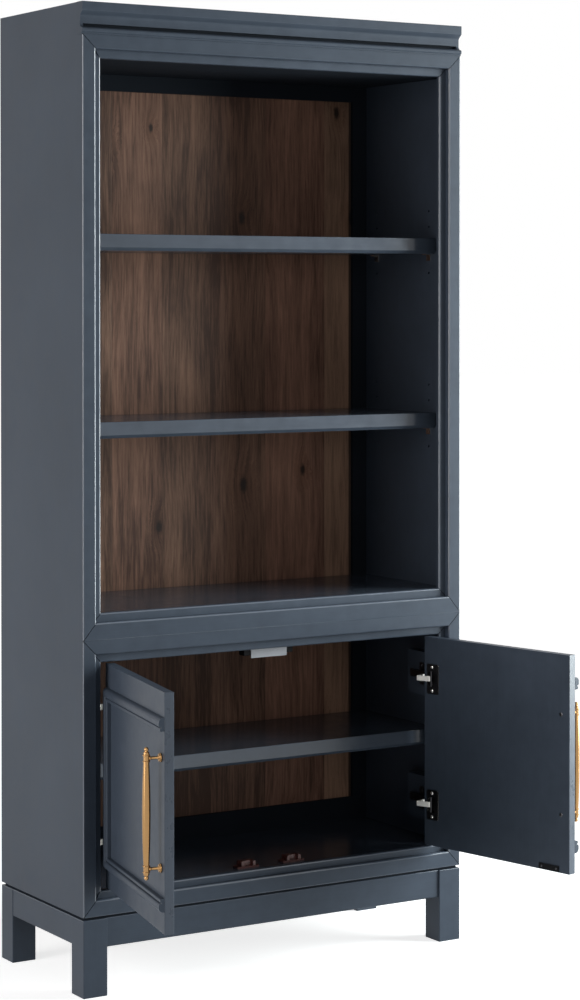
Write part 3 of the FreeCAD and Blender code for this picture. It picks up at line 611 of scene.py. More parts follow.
def eased(node, body, finish, width, is_eased=None,
          edge_finish="Rubbed paint"):
    """Copy of a CAD node with the edges that a maker would ease, standing for the node."""
    shape = merged_copy(node)
    weight = shape.edges.layers.float.new("bevel_weight_edge")
    for edge in shape.edges:
        if len(edge.link_faces) != 2 or edge.calc_face_angle(0.0) < CORNER:
            continue
        edge.smooth = False
        if is_eased is None or is_eased(edge.verts[0].co, edge.verts[1].co):
            edge[weight] = 1.0
    for face in shape.faces:
        face.smooth = True
        face.material_index = PLAIN
    draft = draft_of(shape, node, (finish, edge_finish))
    bevel = draft.modifiers.new("Eased edges", "BEVEL")
    bevel.limit_method = "WEIGHT"
    bevel.width = width
    bevel.segments = 2
    # Painted highlight: the eased edges take the edge finish, by default the paint lightened to
    # stand for light on them
    bevel.material = PAINTED_HIGHLIGHT
    draft.modifiers.new("Even shading", "WEIGHTED_NORMAL").keep_sharp = True
    piece = settle(draft, node + "_eased")
    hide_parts(node)
    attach(piece, body)
    return piece


# Cosine over which a face counts as looking along a direction
LOOKS_ALONG = 0.9


def finish_faces(piece, finish, is_chosen):
    """Gives the chosen faces of an eased piece an extra finish."""
    piece.data.materials.append(bpy.data.materials[finish])
    for face in piece.data.polygons:
        if is_chosen(face):
            face.material_index = EXTRA


class BookcaseOperator:
    """What every operator here shares."""

    bl_options = {"REGISTER", "UNDO"}


class BOOKCASE_OT_make_finishes(BookcaseOperator, bpy.types.Operator):
    """Makes the paint, walnut, metal and plastic finishes."""

    bl_idname = "bookcase.make_finishes"
    bl_label = "Make finishes"

    def execute(self, context):
        make_materials()
        return {"FINISHED"}


# Sides of the case, back of its face frames, and how near counts as there
SIDE_X = 434.0 * MM
FRAME_BACK_Y = 22.0 * MM
NEAR = 0.3 * MM


def off_the_sides(one, two):
    """False for the edges where the case's front and side boards are glued flush."""
    at_side = abs(abs(one.x) - SIDE_X) < NEAR and abs(abs(two.x) - SIDE_X) < NEAR
    behind = abs(one.y - FRAME_BACK_Y) < NEAR and abs(two.y - FRAME_BACK_Y) < NEAR
    return not behind and not (at_side and one.y > NEAR and two.y > NEAR)


# Face frames: thickness, depth at which the lips start, (face, lip) widths of stiles and rails
# from the outer edge in, and the height of each frame's lower end
FRAME_T = 22.0 * MM
LIP_BACK = 12.3 * MM
STILE_WIDTHS = (28.0 * MM, 16.0 * MM)
FACE_FRAMES = {
    "upper_frame": {"low": 676.0 * MM, "bottom": (33.0 * MM, 16.5 * MM),
                    "top": (27.0 * MM, 16.5 * MM)},
    "lower_frame": {"low": 153.0 * MM, "bottom": (31.0 * MM, 14.0 * MM),
                    "top": (28.0 * MM, 16.5 * MM)},
}


def rounded_corner(before, here, after, radius, steps=6):
    """Points of the arc that rounds one corner of a section."""
    here = Vector(here)
    back, on = (Vector(before) - here).normalized(), (Vector(after) - here).normalized()
    half = back.angle(on) / 2
    centre = here + (back + on).normalized() * radius / math.sin(half)
    start, end = (here + side * radius / math.tan(half) - centre for side in (back, on))
    first = math.atan2(start.y, start.x)
    turn = math.atan2(end.y, end.x) - first
    turn = (turn + math.pi) % (2 * math.pi) - math.pi
    return [centre + Vector((math.cos(first + turn * k / steps),
                             math.sin(first + turn * k / steps))) * radius
            for k in range(steps + 1)]


def stepped_section(widths, outer_r, inner_r, lip_r):
    """Section of a frame member as (across, depth, has_painted_highlight) points, from its outer
    edge in.
    """
    face, lip = widths[0], widths[0] + widths[1]
    corners = [(0.0, 0.0, outer_r), (face, 0.0, inner_r), (face, LIP_BACK, 0.0),
               (lip, LIP_BACK, lip_r), (lip, FRAME_T, 0.0), (0.0, FRAME_T, 0.0)]
    points = []
    for i, (across, depth, radius) in enumerate(corners):
        if radius:
            before, after = corners[i - 1][:2], corners[(i + 1) % len(corners)][:2]
            arc_points = rounded_corner(before, (across, depth), after, radius)
            # The rounds, and the wall that steps back from the face's inner round, take the paint
            # lightened as a painted highlight
            painted_highlight_wall = across == face and depth == 0.0
            points += [(point.x, point.y, k < len(arc_points) - 1 or painted_highlight_wall)
                       for k, point in enumerate(arc_points)]
        else:
            points.append((across, depth, False))
    return points


def mitre_at(across, own, other):
    """How far in a mitre has come on the other member, at a place across this one."""
    face, lip = own
    if across <= face:
        return across * other[0] / face
    return other[0] + min((across - face) / lip, 1.0) * other[1]


def mitred_member(name, section, ends, to_frame, joint, finish):
    """Frame member with a small V groove on its face at both mitres, standing for its node; the
    groove's faces take painted shade and the rounds a painted highlight.
    """
    shape = bmesh.new()
    back = FRAME_T - joint
    rings = []
    for across, depth, _ in section:
        low, high = ends(across)
        sunk = depth + joint if depth < back else depth
        rings.append([shape.verts.new(to_frame(across, d, at)) for d, at in (
            (sunk, low), (depth, low + joint), (depth, high - joint), (sunk, high))])
    for i, ring in enumerate(rings):
        after = (i + 1) % len(rings)
        following = rings[after]
        in_front = section[i][1] < back and section[after][1] < back
        # Rounds and step walls take the painted highlight, and the mitre groove's faces painted
        # shade
        highlight_place = PAINTED_HIGHLIGHT if section[i][2] else PLAIN
        groove = EXTRA if in_front else PLAIN
        for k, place_of_finish in enumerate((groove, highlight_place, groove)):
            face = shape.faces.new((ring[k], ring[k + 1], following[k + 1], following[k]))
            face.smooth = True
            face.material_index = place_of_finish
    caps = [shape.faces.new([ring[k] for ring in rings]) for k in (0, -1)]
    bmesh.ops.triangulate(shape, faces=caps)
    bmesh.ops.recalc_face_normals(shape, faces=shape.faces)
    for edge in shape.edges:
        if len(edge.link_faces) == 2 and edge.calc_face_angle(0.0) > CORNER:
            edge.smooth = False
    draft = draft_of(shape, name, (finish, "Rubbed paint", "Dark paint upright"))
    draft.modifiers.new("Even shading", "WEIGHTED_NORMAL").keep_sharp = True
    piece = settle(draft, name + "_mitred")
    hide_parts(name)
    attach(piece, "case")


def face_frame(name, paint):
    """Four mitred members of one face frame."""
    low, bottom, top = (FACE_FRAMES[name][key] for key in ("low", "bottom", "top"))
    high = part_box(name + "_top_rail")[1].z
    stile = stepped_section(STILE_WIDTHS, paint.outer_round, paint.inner_round, paint.lip_round)

    def stile_ends(across):
        return (low + mitre_at(across, STILE_WIDTHS, bottom),
                high - mitre_at(across, STILE_WIDTHS, top))

    for side, sign in (("left", -1.0), ("right", 1.0)):
        mitred_member(f"{name}_{side}_stile", stile, stile_ends,
                      lambda across, depth, at, sign=sign: (sign * (SIDE_X - across), depth, at),
                      paint.joint, "Paint upright")
    for end, widths, edge, sign in (("bottom", bottom, low, 1.0), ("top", top, high, -1.0)):
        rail = stepped_section(widths, paint.arris, paint.inner_round, paint.lip_round)
        if end == "top":
            rail = [(across, depth, False) for across, depth, _ in rail]

        def rail_ends(across, widths=widths):
            half = SIDE_X - mitre_at(across, widths, STILE_WIDTHS)
            return -half, half

        mitred_member(f"{name}_{end}_rail", rail, rail_ends,
                      lambda across, depth, at, edge=edge, sign=sign:
                      (at, depth, edge + sign * across), paint.joint, "Paint across")


class BOOKCASE_OT_make_face_frames(BookcaseOperator, bpy.types.Operator):
    """Makes the two mitred face frames with their rounded inner edges and lips."""

    bl_idname = "bookcase.make_face_frames"
    bl_label = "Make face frames"

    def execute(self, context):
        for name in FACE_FRAMES:
            face_frame(name, context.scene.bookcase_paint)
        return {"FINISHED"}


# Stopped groove of the crown: it starts behind this depth and lies between these heights
RECESS_Y = 8.5 * MM
GROOVE_LOW, GROOVE_HIGH = 1832.5 * MM, 1839.2 * MM


def in_crown_groove(face):
    return (RECESS_Y + NEAR < face.center.y < FRAME_BACK_Y - NEAR
            and GROOVE_LOW < face.center.z < GROOVE_HIGH)


# Painted shade on the back frame, the ceilings and the base spacer's gap
CASE_COATS = {
    "Paint upright": ("left_side_panel", "right_side_panel", "hinge_blocks"),
    "Paint across": ("top_panel",),
    "Satin paint across": ("middle_floor_panel", "cupboard_floor_panel"),
    "Dark paint upright": ("left_back_stile", "right_back_stile"),
    "Dark paint across": ("back_top_rail", "back_middle_rail", "back_bottom_rail",
                          "ceiling_panel", "cupboard_ceiling_panel", "base_spacer"),
}


class BOOKCASE_OT_dress_case(BookcaseOperator, bpy.types.Operator):
    """Paints the case: side panels, boards, crown, back frame and shelves."""

    bl_idname = "bookcase.dress_case"
    bl_label = "Dress case"

    def execute(self, context):
        arris = context.scene.bookcase_paint.arris
        for finish, nodes in CASE_COATS.items():
            for node in nodes:
                coat(frame["nodes"][node], finish)
        crown = eased("crown_moulding", "case", "Paint across", arris, off_the_sides)
        # Painted shade in the crown's stopped groove
        finish_faces(crown, "Dark paint across", in_crown_groove)
        for node in ("upper_shelf", "middle_shelf", "cupboard_shelf"):
            eased(node, "case", "Satin paint across", arris)
        return {"FINISHED"}


class BOOKCASE_OT_dress_base(BookcaseOperator, bpy.types.Operator):
    """Paints the legs and aprons and eases their edges."""

    bl_idname = "bookcase.dress_base"
    bl_label = "Dress base"

    def execute(self, context):
        arris = context.scene.bookcase_paint.arris
        for side in SIDES:
            for end in ("front", "back"):
                eased(f"{side}_{end}_leg", "case", "Paint upright", arris)
            eased(f"{side}_side_apron", "case", "Paint deep", arris)
        for end in ("front", "back"):
            eased(f"{end}_apron", "case", "Paint across", arris)
        return {"FINISHED"}


class BOOKCASE_OT_dress_back(BookcaseOperator, bpy.types.Operator):
    """Gives the back panels their walnut boards."""

    bl_idname = "bookcase.dress_back"
    bl_label = "Dress back"

    def execute(self, context):
        for node in ("upper_back_panel", "lower_back_panel"):
            coat(frame["nodes"][node], "Oiled walnut")
        return {"FINISHED"}


class BOOKCASE_OT_dress_doors(BookcaseOperator, bpy.types.Operator):
    """Paints the door slabs and their mouldings and eases their edges."""

    bl_idname = "bookcase.dress_doors"
    bl_label = "Dress doors"

    def execute(self, context):
        arris = context.scene.bookcase_paint.arris
        for side in SIDES:
            body = f"{side}_door"
            slab = eased(f"{side}_door_slab", body, "Paint upright", arris)
            # The free edge of each slab takes the paint lightened as a painted highlight
            free = door_turn(side).to_3x3() @ Vector(ACROSS)
            finish_faces(slab, "Edge paint",
                         lambda face, free=free: face.normal.dot(free) > LOOKS_ALONG)
            eased(f"{side}_door_upright_moulding", body, "Paint upright", arris)
            for run in ("top", "bottom"):
                eased(f"{side}_door_{run}_moulding", body, f"Paint {side} door rails", arris)
        return {"FINISHED"}


# ---- Turned pulls


def door_turn(side):
    """Matrix from the closed left door's place to the open door on one side."""
    hinge = next(joint for joint in frame["joints"] if joint["name"] == "left_door_hinge")
    pivot = Vector(hinge["pos_m"])
    swing = (Matrix.Translation(pivot) @ Matrix.Rotation(-DOOR_OPEN, 4, "Z")
             @ Matrix.Translation(-pivot))
    return swing if side == "left" else Matrix.Scale(-1.0, 4, ACROSS) @ swing


def in_mm(*points):
    """Points of a profile that are given in millimetres."""
    return [(radius * MM, along * MM) for radius, along in points]


def arc(centre, radius, start, end, steps):
    """Points on an arc of a profile, from one angle to another, in degrees."""
    points = []
    for i in range(steps + 1):
        angle = math.radians(start + (end - start) * i / steps)
        points.append((centre[0] + radius * math.cos(angle),
                       centre[1] + radius * math.sin(angle)))
    return points


def profile_object(name, points):
    """Open polyline of (radius, along) points, which the turning tree spins round."""
    curve = bpy.data.curves.new(name, "CURVE")
    curve.dimensions = "3D"
    spline = curve.splines.new("POLY")
    spline.points.add(len(points) - 1)
    for point, (radius, along) in zip(spline.points, points):
        point.co = (radius, -along, 0.0, 1.0)
    return add_object(name, curve)


def put_copies(tree, given, result, points, piece, turn):
    """Ends a tree with real copies of a piece on points, in the given finish."""
    copies = made(tree, "GeometryNodeInstanceOnPoints", {
        "Points": points, "Instance": piece, "Rotation": turn})
    real = made(tree, "GeometryNodeRealizeInstances", {"Geometry": copies})
    put_out(tree, result, Geometry=made(tree, "GeometryNodeSetMaterial", {
        "Geometry": real, "Material": given["Finish"]}))


# Radius of the tiny ring that a profile follows, and what counts there as a point and a corner
AXIS_R = 0.001 * MM
POLE_WELD = 0.005 * MM
TURNED_CORNER = math.radians(40.0)


def turned_tree():
    """Spins a profile round Z and sets copies of it in a row."""
    tree, given, result = new_group(
        "Turned pieces", "GeometryNodeTree",
        [("Profile", GEOMETRY), ("Segments", WHOLE, 32), ("Copies", WHOLE, 1),
         ("Start", VECTOR), ("Step", VECTOR),
         ("Turn", "NodeSocketRotation"), ("Finish", FINISH)],
        [("Geometry", GEOMETRY)])
    ring = made(tree, "GeometryNodeCurvePrimitiveCircle", {
        "Resolution": given["Segments"], "Radius": AXIS_R})
    upright = made(tree, "GeometryNodeSetCurveNormal", {"Curve": ring}, mode="Z_UP")
    spun = made(tree, "GeometryNodeCurveToMesh", {
        "Curve": upright, "Profile Curve": given["Profile"]})
    closed = made(tree, "GeometryNodeMergeByDistance", {
        "Geometry": spun, "Distance": POLE_WELD})
    row = made(tree, "GeometryNodeMeshLine", {
        "Count": given["Copies"], "Start Location": given["Start"], "Offset": given["Step"]},
        mode="OFFSET")
    put_copies(tree, given, result, row, closed, given["Turn"])


def set_tree(draft, tree, values):
    """Puts a Geometry Nodes tree on an object with its inputs' values, by identifier."""
    modifier = draft.modifiers.new(tree.name, "NODES")
    modifier.node_group = tree
    for item in tree.interface.items_tree:
        if item.in_out == "INPUT" and item.name in values:
            modifier[item.identifier] = values[item.name]


def sharpen(piece, corner):
    """Marks the piece's corners sharp and shades the rest smooth."""
    piece.data.shade_smooth()
    piece.data.set_sharp_from_angle(angle=corner)


def turned_piece(name, points, segments, start, copies=1, rise=0.0, turn=(0.0, 0.0, 0.0)):
    """Satin brass pieces of one profile, each one's start a rise above the last."""
    draft = profile_object(name + "_profile", points)
    set_tree(draft, bpy.data.node_groups["Turned pieces"], {
        "Segments": segments, "Copies": copies, "Start": start, "Step": (0.0, 0.0, rise),
        "Turn": turn, "Finish": bpy.data.materials["Satin brass"]})
    piece = settle(draft, name, "Satin brass")
    sharpen(piece, TURNED_CORNER)
    return piece


# Turned bar: radii of its middle and ends, its collars and how far they stand from a post's
# axis, the fine quirk beside each, the round at the neck, and the ball at each tip
BAR_MIDDLE_R, BAR_END_R = 7.6 * MM, 5.4 * MM
COLLAR_R, COLLAR_H = 7.0 * MM, 2.2 * MM
COLLAR_REACH = 4.4 * MM
QUIRK = 0.15 * MM
NECK_ROUND = 0.6 * MM
BALL_R = 4.3 * MM
BAR_STEPS = 12


def bar_profile(settings):
    """Bar from tip to tip, as (radius, along) points: its upper half, and that mirrored."""
    post, tip = settings.spacing / 2, settings.length / 2
    shoulder = post - COLLAR_REACH - COLLAR_H
    bead = COLLAR_H / 2
    half = []
    for i in range(BAR_STEPS + 1):
        share = i / BAR_STEPS
        half.append((BAR_MIDDLE_R + (BAR_END_R - BAR_MIDDLE_R) * share ** 2, shoulder * share))
    for low in (shoulder, post + COLLAR_REACH):
        half.append((BAR_END_R, low - QUIRK))
        half += arc((COLLAR_R - bead, low + bead), bead, -78, 78, 6)
        half.append((BAR_END_R, low + COLLAR_H + QUIRK))
    neck = post + 2 * COLLAR_REACH + COLLAR_H
    half.append((BAR_END_R, neck - NECK_ROUND))
    half += arc((BAR_END_R - NECK_ROUND, neck - NECK_ROUND), NECK_ROUND, 0, 80, 3)
    half += [(3.4 * MM, neck + 0.9 * MM), (3.1 * MM, neck + 2.1 * MM)]
    half += arc((0.0, tip - BALL_R), BALL_R, -38, 90, 10)
    lower = [(radius, -along) for radius, along in reversed(half)]
    return lower[:-1] + half


def post_profile(settings):
    """Rosette and post from the door up to the bar, as (radius, along) points."""
    top = settings.stand - BAR_END_R * 0.35
    collar = settings.stand - BAR_END_R - 2.0 * MM
    points = in_mm((0.0, 0.0), (7.9, 0.0), (8.1, 0.4), (8.3, 0.8))
    points += arc((7.5 * MM, 2.0 * MM), 0.8 * MM, 0, 80, 4)
    points += in_mm((7.2, 3.1), (7.2, 3.6))
    points += arc((6.3 * MM, 4.4 * MM), 0.7 * MM, 0, 80, 3)
    points += in_mm((5.2, 5.3), (4.0, 5.7), (3.4, 6.3), (3.1, 7.2), (2.9, 8.8))
    points += [(2.9 * MM, collar - 1.6 * MM), (3.1 * MM, collar - 0.6 * MM)]
    points += arc((3.2 * MM, collar + 0.8 * MM), 1.0 * MM, -70, 70, 5)
    points += [(3.6 * MM, collar + 2.0 * MM), (3.6 * MM, top), (0.0, top)]
    return points


class BOOKCASE_OT_make_pulls(BookcaseOperator, bpy.types.Operator):
    """Turns the brass bars with their collars and finials, and the posts with rosettes."""

    bl_idname = "bookcase.make_pulls"
    bl_label = "Make pulls"

    def execute(self, context):
        settings = context.scene.bookcase_pulls
        turned_tree()
        for side in SIDES:
            low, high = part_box(f"{side}_pull_bar")
            centre = (low + high) / 2
            outward = (door_turn(side).to_3x3() @ -Vector(DEEP)).normalized()
            bar = turned_piece(f"{side}_bar", bar_profile(settings), settings.segments, centre)
            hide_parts(f"{side}_pull_bar")
            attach(bar, f"{side}_door")
            foot = centre - outward * settings.stand - Vector((0, 0, settings.spacing / 2))
            turn = Vector(UPRIGHT).rotation_difference(outward).to_euler()
            posts = turned_piece(f"{side}_posts_turned", post_profile(settings),
                                 settings.segments, foot, 2, settings.spacing, turn)
            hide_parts(f"{side}_pull_posts")
            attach(posts, f"{side}_door")
        return {"FINISHED"}


# ---- Screws


def screw_tree():
    """Domed heads with a cross recess, one on each point, turned at random."""
    tree, given, result = new_group(
        "Screw heads", "GeometryNodeTree",
        [("Places", GEOMETRY), ("Radius", FLOAT, 0.004), ("Height", FLOAT, 0.002),
         ("Recess", FLOAT, 0.001), ("Seed", WHOLE, 3), ("Finish", FINISH)],
        [("Geometry", GEOMETRY)])
    blank = made(tree, "GeometryNodeMeshCylinder", {
        "Vertices": 20, "Side Segments": 1, "Fill Segments": 4, "Radius": given["Radius"],
        "Depth": given["Height"]}, fill_type="NGON")
    x, y, z = parts_of(tree, made(tree, "GeometryNodeInputPosition"))
    share = calc(tree, "DIVIDE", length_of(tree, combined(tree, x, y)), given["Radius"])
    fall = times(tree, calc(tree, "POWER", share, 2.4), -0.62)
    dome = times(tree, calc(tree, "ADD", fall, 1.0), given["Height"])
    is_top = calc(tree, "GREATER_THAN", z, 0.0)
    head = made(tree, "GeometryNodeSetPosition", {
        "Geometry": blank, "Position": combined(tree, x, y, times(tree, dome, is_top))})
    width = times(tree, given["Radius"], 0.26)
    length = times(tree, given["Radius"], 1.15)
    deep = times(tree, given["Recess"], 2.0)
    lift = combined(tree, z=given["Height"])
    for size in ((length, width), (width, length)):
        blade = made(tree, "GeometryNodeMeshCube", {"Size": combined(tree, *size, deep)})
        raised = made(tree, "GeometryNodeTransform", {"Geometry": blade, "Translation": lift})
        head = made(tree, "GeometryNodeMeshBoolean", {0: head, 1: raised},
                    operation="DIFFERENCE")
    facing = made(tree, "GeometryNodeInputNamedAttribute", {"Name": "facing"},
                  data_type="FLOAT_VECTOR")
    aligned = made(tree, "FunctionNodeAlignRotationToVector", {"Vector": facing}, axis="Z")
    spin = place(tree, "FunctionNodeRandomValue", {
        "Min_001": 0.0, "Max_001": math.pi, "Seed": given["Seed"]}, data_type="FLOAT").outputs[1]
    twist = made(tree, "FunctionNodeAxisAngleToRotation", {"Axis": UPRIGHT, "Angle": spin})
    turned = made(tree, "FunctionNodeRotateRotation", {
        "Rotation": aligned, "Rotate By": twist}, rotation_space="LOCAL")
    put_copies(tree, given, result, given["Places"], head, turned)


def screw_row(name, heads, body, finish, size, seed):
    """Screw heads at (place, facing) pairs, as one piece on one body.

    Size is a head's radius and height, and the depth of its recess.
    """
    mesh = bpy.data.meshes.new(name + "_places")
    mesh.from_pydata([tuple(at) for at, _ in heads], [], [])
    facing = mesh.attributes.new("facing", "FLOAT_VECTOR", "POINT")
    for item, (_, direction) in zip(facing.data, heads):
        item.vector = direction
    draft = add_object(name + "_places", mesh)
    radius, height, recess = size
    set_tree(draft, bpy.data.node_groups["Screw heads"], {
        "Radius": radius, "Height": height, "Recess": recess, "Seed": seed,
        "Finish": bpy.data.materials[finish]})
    piece = settle(draft, name, finish)
    sharpen(piece, CORNER)
    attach(piece, body)


# Screws on the closed left door and on the hinge plates beside it: places, and what they stand on
DOOR_INNER_Y = 29.9 * MM
HINGE_Z = (285.0 * MM, 543.0 * MM)
CUP_X = -365.5 * MM
CUP_FLANGE_T = 1.5 * MM
CUP_SCREW_HALF = 24.0 * MM
PULL_X = -22.7 * MM
PULL_Z = 413.0 * MM
PULL_SCREW_HALF = 98.0 * MM
STRIKE_Z = 208.5 * MM
STRIKE_X = (-71.0 * MM, -34.0 * MM)
STRIKE_SEAT_T = 1.4 * MM
WING_X = -387.5 * MM
WING_Y = 72.0 * MM
WING_SCREW_HALF = 16.0 * MM

# Screw heads: recess of the cups' screws, and radius, height and recess of the others
CUP_RECESS = 0.9 * MM
PULL_SCREW = (4.2 * MM, 1.2 * MM, 1.0 * MM)
STRIKE_SCREW = (2.4 * MM, 1.3 * MM, 0.7 * MM)
PLATE_SCREW = (3.7 * MM, 2.2 * MM, 0.9 * MM)


class BOOKCASE_OT_make_screws(BookcaseOperator, bpy.types.Operator):
    """Sets cross-recess screws on the hinge cups and plates, the pulls and the strike plates."""

    bl_idname = "bookcase.make_screws"
    bl_label = "Make screws"

    def execute(self, context):
        metals = context.scene.bookcase_metals
        screw_tree()
        cup_screw = (metals.screw_radius, metals.screw_height, CUP_RECESS)
        for seed, side in enumerate(SIDES):
            door, turn = f"{side}_door", door_turn(side)
            inward = (turn.to_3x3() @ Vector(DEEP)).normalized()
            sign = -1.0 if side == "right" else 1.0
            cup, pull, strike = ([(turn @ Vector(at), inward) for at in places] for places in (
                [(CUP_X, DOOR_INNER_Y + CUP_FLANGE_T, z + dz)
                 for z in HINGE_Z for dz in (-CUP_SCREW_HALF, CUP_SCREW_HALF)],
                [(PULL_X, DOOR_INNER_Y, PULL_Z + dz)
                 for dz in (-PULL_SCREW_HALF, PULL_SCREW_HALF)],
                [(x, DOOR_INNER_Y + STRIKE_SEAT_T, STRIKE_Z) for x in STRIKE_X]))
            plate = [(Vector((sign * WING_X, WING_Y, z + dz)), Vector((sign, 0.0, 0.0)))
                     for z in HINGE_Z for dz in (-WING_SCREW_HALF, WING_SCREW_HALF)]
            # The pull, strike and plate screws take nickel darkened as painted shade
            for kind, heads, body, slot, finish, size, first_seed in (
                    ("cup", cup, door, "nickel", "Nickel plate", cup_screw, 3),
                    ("pull", pull, door, "nickel", "Dark nickel", PULL_SCREW, 13),
                    ("strike", strike, door, "black_steel", "Dark nickel", STRIKE_SCREW, 23),
                    ("plate", plate, "case", "nickel", "Dark nickel", PLATE_SCREW, 33)):
                screw_row(f"{side}_{kind}_screws", heads, body, finish, size,
                          first_seed + seed)
        return {"FINISHED"}


CUP_EASE = 0.5 * MM
# Hinge arms take nickel darkened as painted shade, and the hinge links nickel lightened as
# painted highlight
FITTING_COATS = {
    "left_hinge_arms": "Dark nickel", "right_hinge_arms": "Dark nickel",
    "left_hinge_links": "Bright nickel", "right_hinge_links": "Bright nickel",
    "left_strike_plate": "Black plastic", "right_strike_plate": "Black plastic",
    "floor_catches": "Amber plastic", "stop_bracket": "Grey enamel",
    "stop_body": "Black plastic", "shelf_supports": "Nickel plate",
}


class BOOKCASE_OT_dress_fittings(BookcaseOperator, bpy.types.Operator):
    """Finishes the hinges, catches, strike plates, stop bracket and shelf supports."""

    bl_idname = "bookcase.dress_fittings"
    bl_label = "Dress fittings"

    def execute(self, context):
        for side in SIDES:
            # Cup bodies take nickel darkened as painted shade, and their eased rims the plain
            # nickel
            eased(f"{side}_hinge_cups", f"{side}_door", "Dark nickel", CUP_EASE,
                  edge_finish="Nickel plate")
        for node, finish in FITTING_COATS.items():
            coat(frame["nodes"][node], finish)
        return {"FINISHED"}


# ---- Studio


def seen_white(tree):
    """1 where the camera, a reflection or a clear material looks, and 0 for other light."""
    path = tree.nodes.new("ShaderNodeLightPath").outputs
    looks = calc(tree, "MAXIMUM", path["Is Camera Ray"], path["Is Glossy Ray"])
    return calc(tree, "MAXIMUM", looks, path["Is Transmission Ray"])


# Floor: half its width, and its glow near the case, which grows to white between these distances
WHITE = (1.0, 1.0, 1.0)
FLOOR_REACH = 30.0
FLOOR_GLOW = 0.75
FLOOR_NEAR, FLOOR_FAR = 1.2, 4.0


def floor_material(colour):
    """Plain diffuse floor that is seen brighter the further it is from the case, up to white."""
    material = bpy.data.materials.new("Studio floor")
    material.use_nodes = True
    tree = material.node_tree
    tree.nodes.remove(tree.nodes["Principled BSDF"])
    diffuse = made(tree, "ShaderNodeBsdfDiffuse", {"Color": opaque(colour)})
    away = length_of(tree, tree.nodes.new("ShaderNodeTexCoord").outputs["Object"])
    glow = remap(tree, away, FLOOR_NEAR, FLOOR_FAR, FLOOR_GLOW, 1.0)
    light = made(tree, "ShaderNodeEmission", {
        "Color": opaque(WHITE), "Strength": times(tree, seen_white(tree), glow)})
    both = made(tree, "ShaderNodeAddShader", {0: diffuse, 1: light})
    tree.links.new(both, tree.nodes["Material Output"].inputs["Surface"])
    return material


def white_world(ambient):
    """World that is seen white and gives an even light of the given strength."""
    world = bpy.data.worlds.new("Studio")
    world.use_nodes = True
    bpy.context.scene.world = world
    tree = world.node_tree
    back = tree.nodes["Background"]
    back.inputs["Color"].default_value = opaque(WHITE)
    strength = added(tree, ambient, seen_white(tree), 1.0 - ambient)
    tree.links.new(strength, back.inputs["Strength"])


# Lamps: place, point that it faces, width, height, spread in degrees and colour
LAMPS = {
    "key": ((2.60, -1.25, 1.32), (0.2, 0.0, 0.95), 1.5, 2.4, 120.0, (0.93, 1.0, 1.0)),
    "fill": ((-5.15, -0.30, 1.3), (0.0, 0.0, 0.6), 3.2, 2.6, 90.0, (1.0, 0.98, 0.97)),
    "front": ((-0.8, -5.2, 1.9), (0.0, 0.0, 0.95), 2.6, 2.0, 180.0, WHITE),
}


def soft_light(name, power, place_at, aim, width, height, spread, colour):
    light = bpy.data.lights.new(name, "AREA")
    light.shape = "RECTANGLE"
    light.size = width
    light.size_y = height
    light.energy = power
    light.spread = math.radians(spread)
    light.color = colour
    lamp = add_object(name, light)
    lamp.location = place_at
    direction = Vector(aim) - Vector(place_at)
    lamp.rotation_euler = direction.to_track_quat("-Z", "Y").to_euler()


# Camera: place, tilt and turn in degrees, lens and film in millimetres, and shift
CAMERA_AT = (-2.624, -4.294, 1.327)
CAMERA_TILT, CAMERA_TURN = 89.23, -31.66
LENS_MM, FILM_MM = 92.08, 36.0
SHIFT_X, SHIFT_Y = -0.0004, -0.1700


def set_camera(scene):
    lens = bpy.data.cameras.new("Camera")
    lens.sensor_fit = "VERTICAL"
    lens.sensor_height = FILM_MM
    lens.lens = LENS_MM
    lens.shift_x = SHIFT_X
    lens.shift_y = SHIFT_Y
    lens.clip_end = 100.0
    camera = add_object("Camera", lens)
    camera.location = CAMERA_AT
    camera.rotation_euler = Euler((math.radians(CAMERA_TILT), 0.0, math.radians(CAMERA_TURN)))
    scene.camera = camera


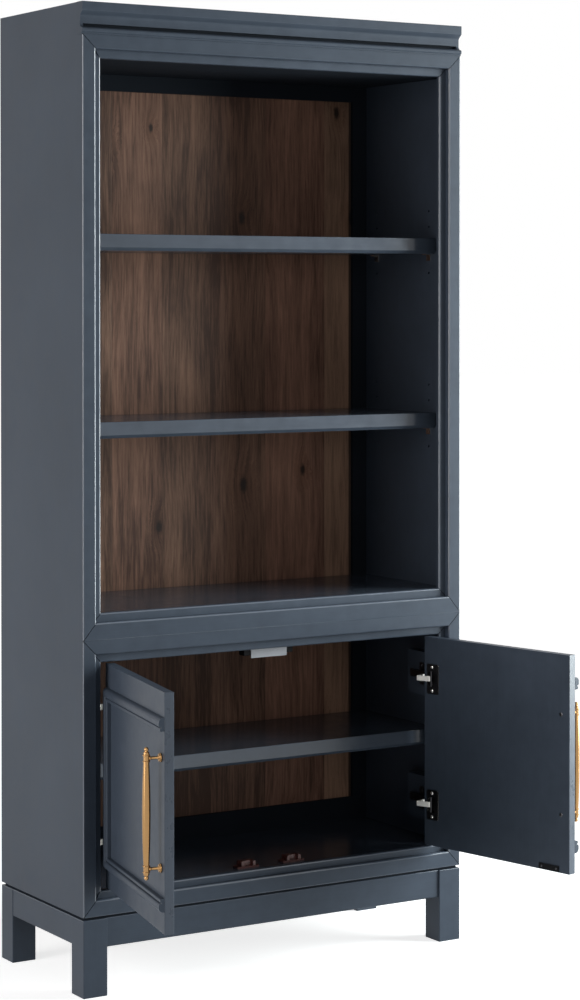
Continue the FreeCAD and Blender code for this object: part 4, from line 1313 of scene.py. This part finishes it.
class BOOKCASE_OT_set_stage(BookcaseOperator, bpy.types.Operator):
    """Sets the pale floor, the soft lights, the white surround and the camera."""

    bl_idname = "bookcase.set_stage"
    bl_label = "Set stage"

    def execute(self, context):
        settings = context.scene.bookcase_studio
        mesh = bpy.data.meshes.new("studio_floor")
        mesh.from_pydata([(x * FLOOR_REACH, y * FLOOR_REACH, 0.0) for x, y in (
            (-1, -1), (1, -1), (1, 1), (-1, 1))], [], [(0, 1, 2, 3)])
        floor = add_object("studio_floor", mesh)
        mesh.materials.append(floor_material(settings.floor))
        white_world(settings.ambient)
        for name, lamp in LAMPS.items():
            soft_light(f"{name.capitalize()} light", getattr(settings, name), *lamp)
        set_camera(context.scene)
        context.scene.view_settings.view_transform = "Standard"
        return {"FINISHED"}


class BOOKCASE_PT_sidebar(bpy.types.Panel):
    """Settings and steps of the bookcase."""

    bl_idname = "BOOKCASE_PT_sidebar"
    bl_label = "Bookcase"
    bl_space_type = "VIEW_3D"
    bl_region_type = "UI"
    bl_category = "Bookcase"

    def draw(self, context):
        for name, group in SETTINGS:
            box = self.layout.box()
            for prop in group.__annotations__:
                box.prop(getattr(context.scene, name), prop)
        for operator in STEPS:
            self.layout.operator(operator.bl_idname)


STEPS = (
    BOOKCASE_OT_set_stage,
    BOOKCASE_OT_make_finishes,
    BOOKCASE_OT_dress_case,
    BOOKCASE_OT_make_face_frames,
    BOOKCASE_OT_dress_base,
    BOOKCASE_OT_dress_back,
    BOOKCASE_OT_dress_doors,
    BOOKCASE_OT_make_pulls,
    BOOKCASE_OT_dress_fittings,
    BOOKCASE_OT_make_screws,
)


def register():
    for name, group in SETTINGS:
        bpy.utils.register_class(group)
        setattr(bpy.types.Scene, name, bpy.props.PointerProperty(type=group))
    for step in STEPS:
        bpy.utils.register_class(step)
    bpy.utils.register_class(BOOKCASE_PT_sidebar)


def unregister():
    bpy.utils.unregister_class(BOOKCASE_PT_sidebar)
    for step in reversed(STEPS):
        bpy.utils.unregister_class(step)
    for name, group in reversed(SETTINGS):
        delattr(bpy.types.Scene, name)
        bpy.utils.unregister_class(group)


def main():
    register()
    for step in STEPS:
        area, name = step.bl_idname.split(".")
        getattr(getattr(bpy.ops, area), name)()


if __name__ == "__main__":
    main()
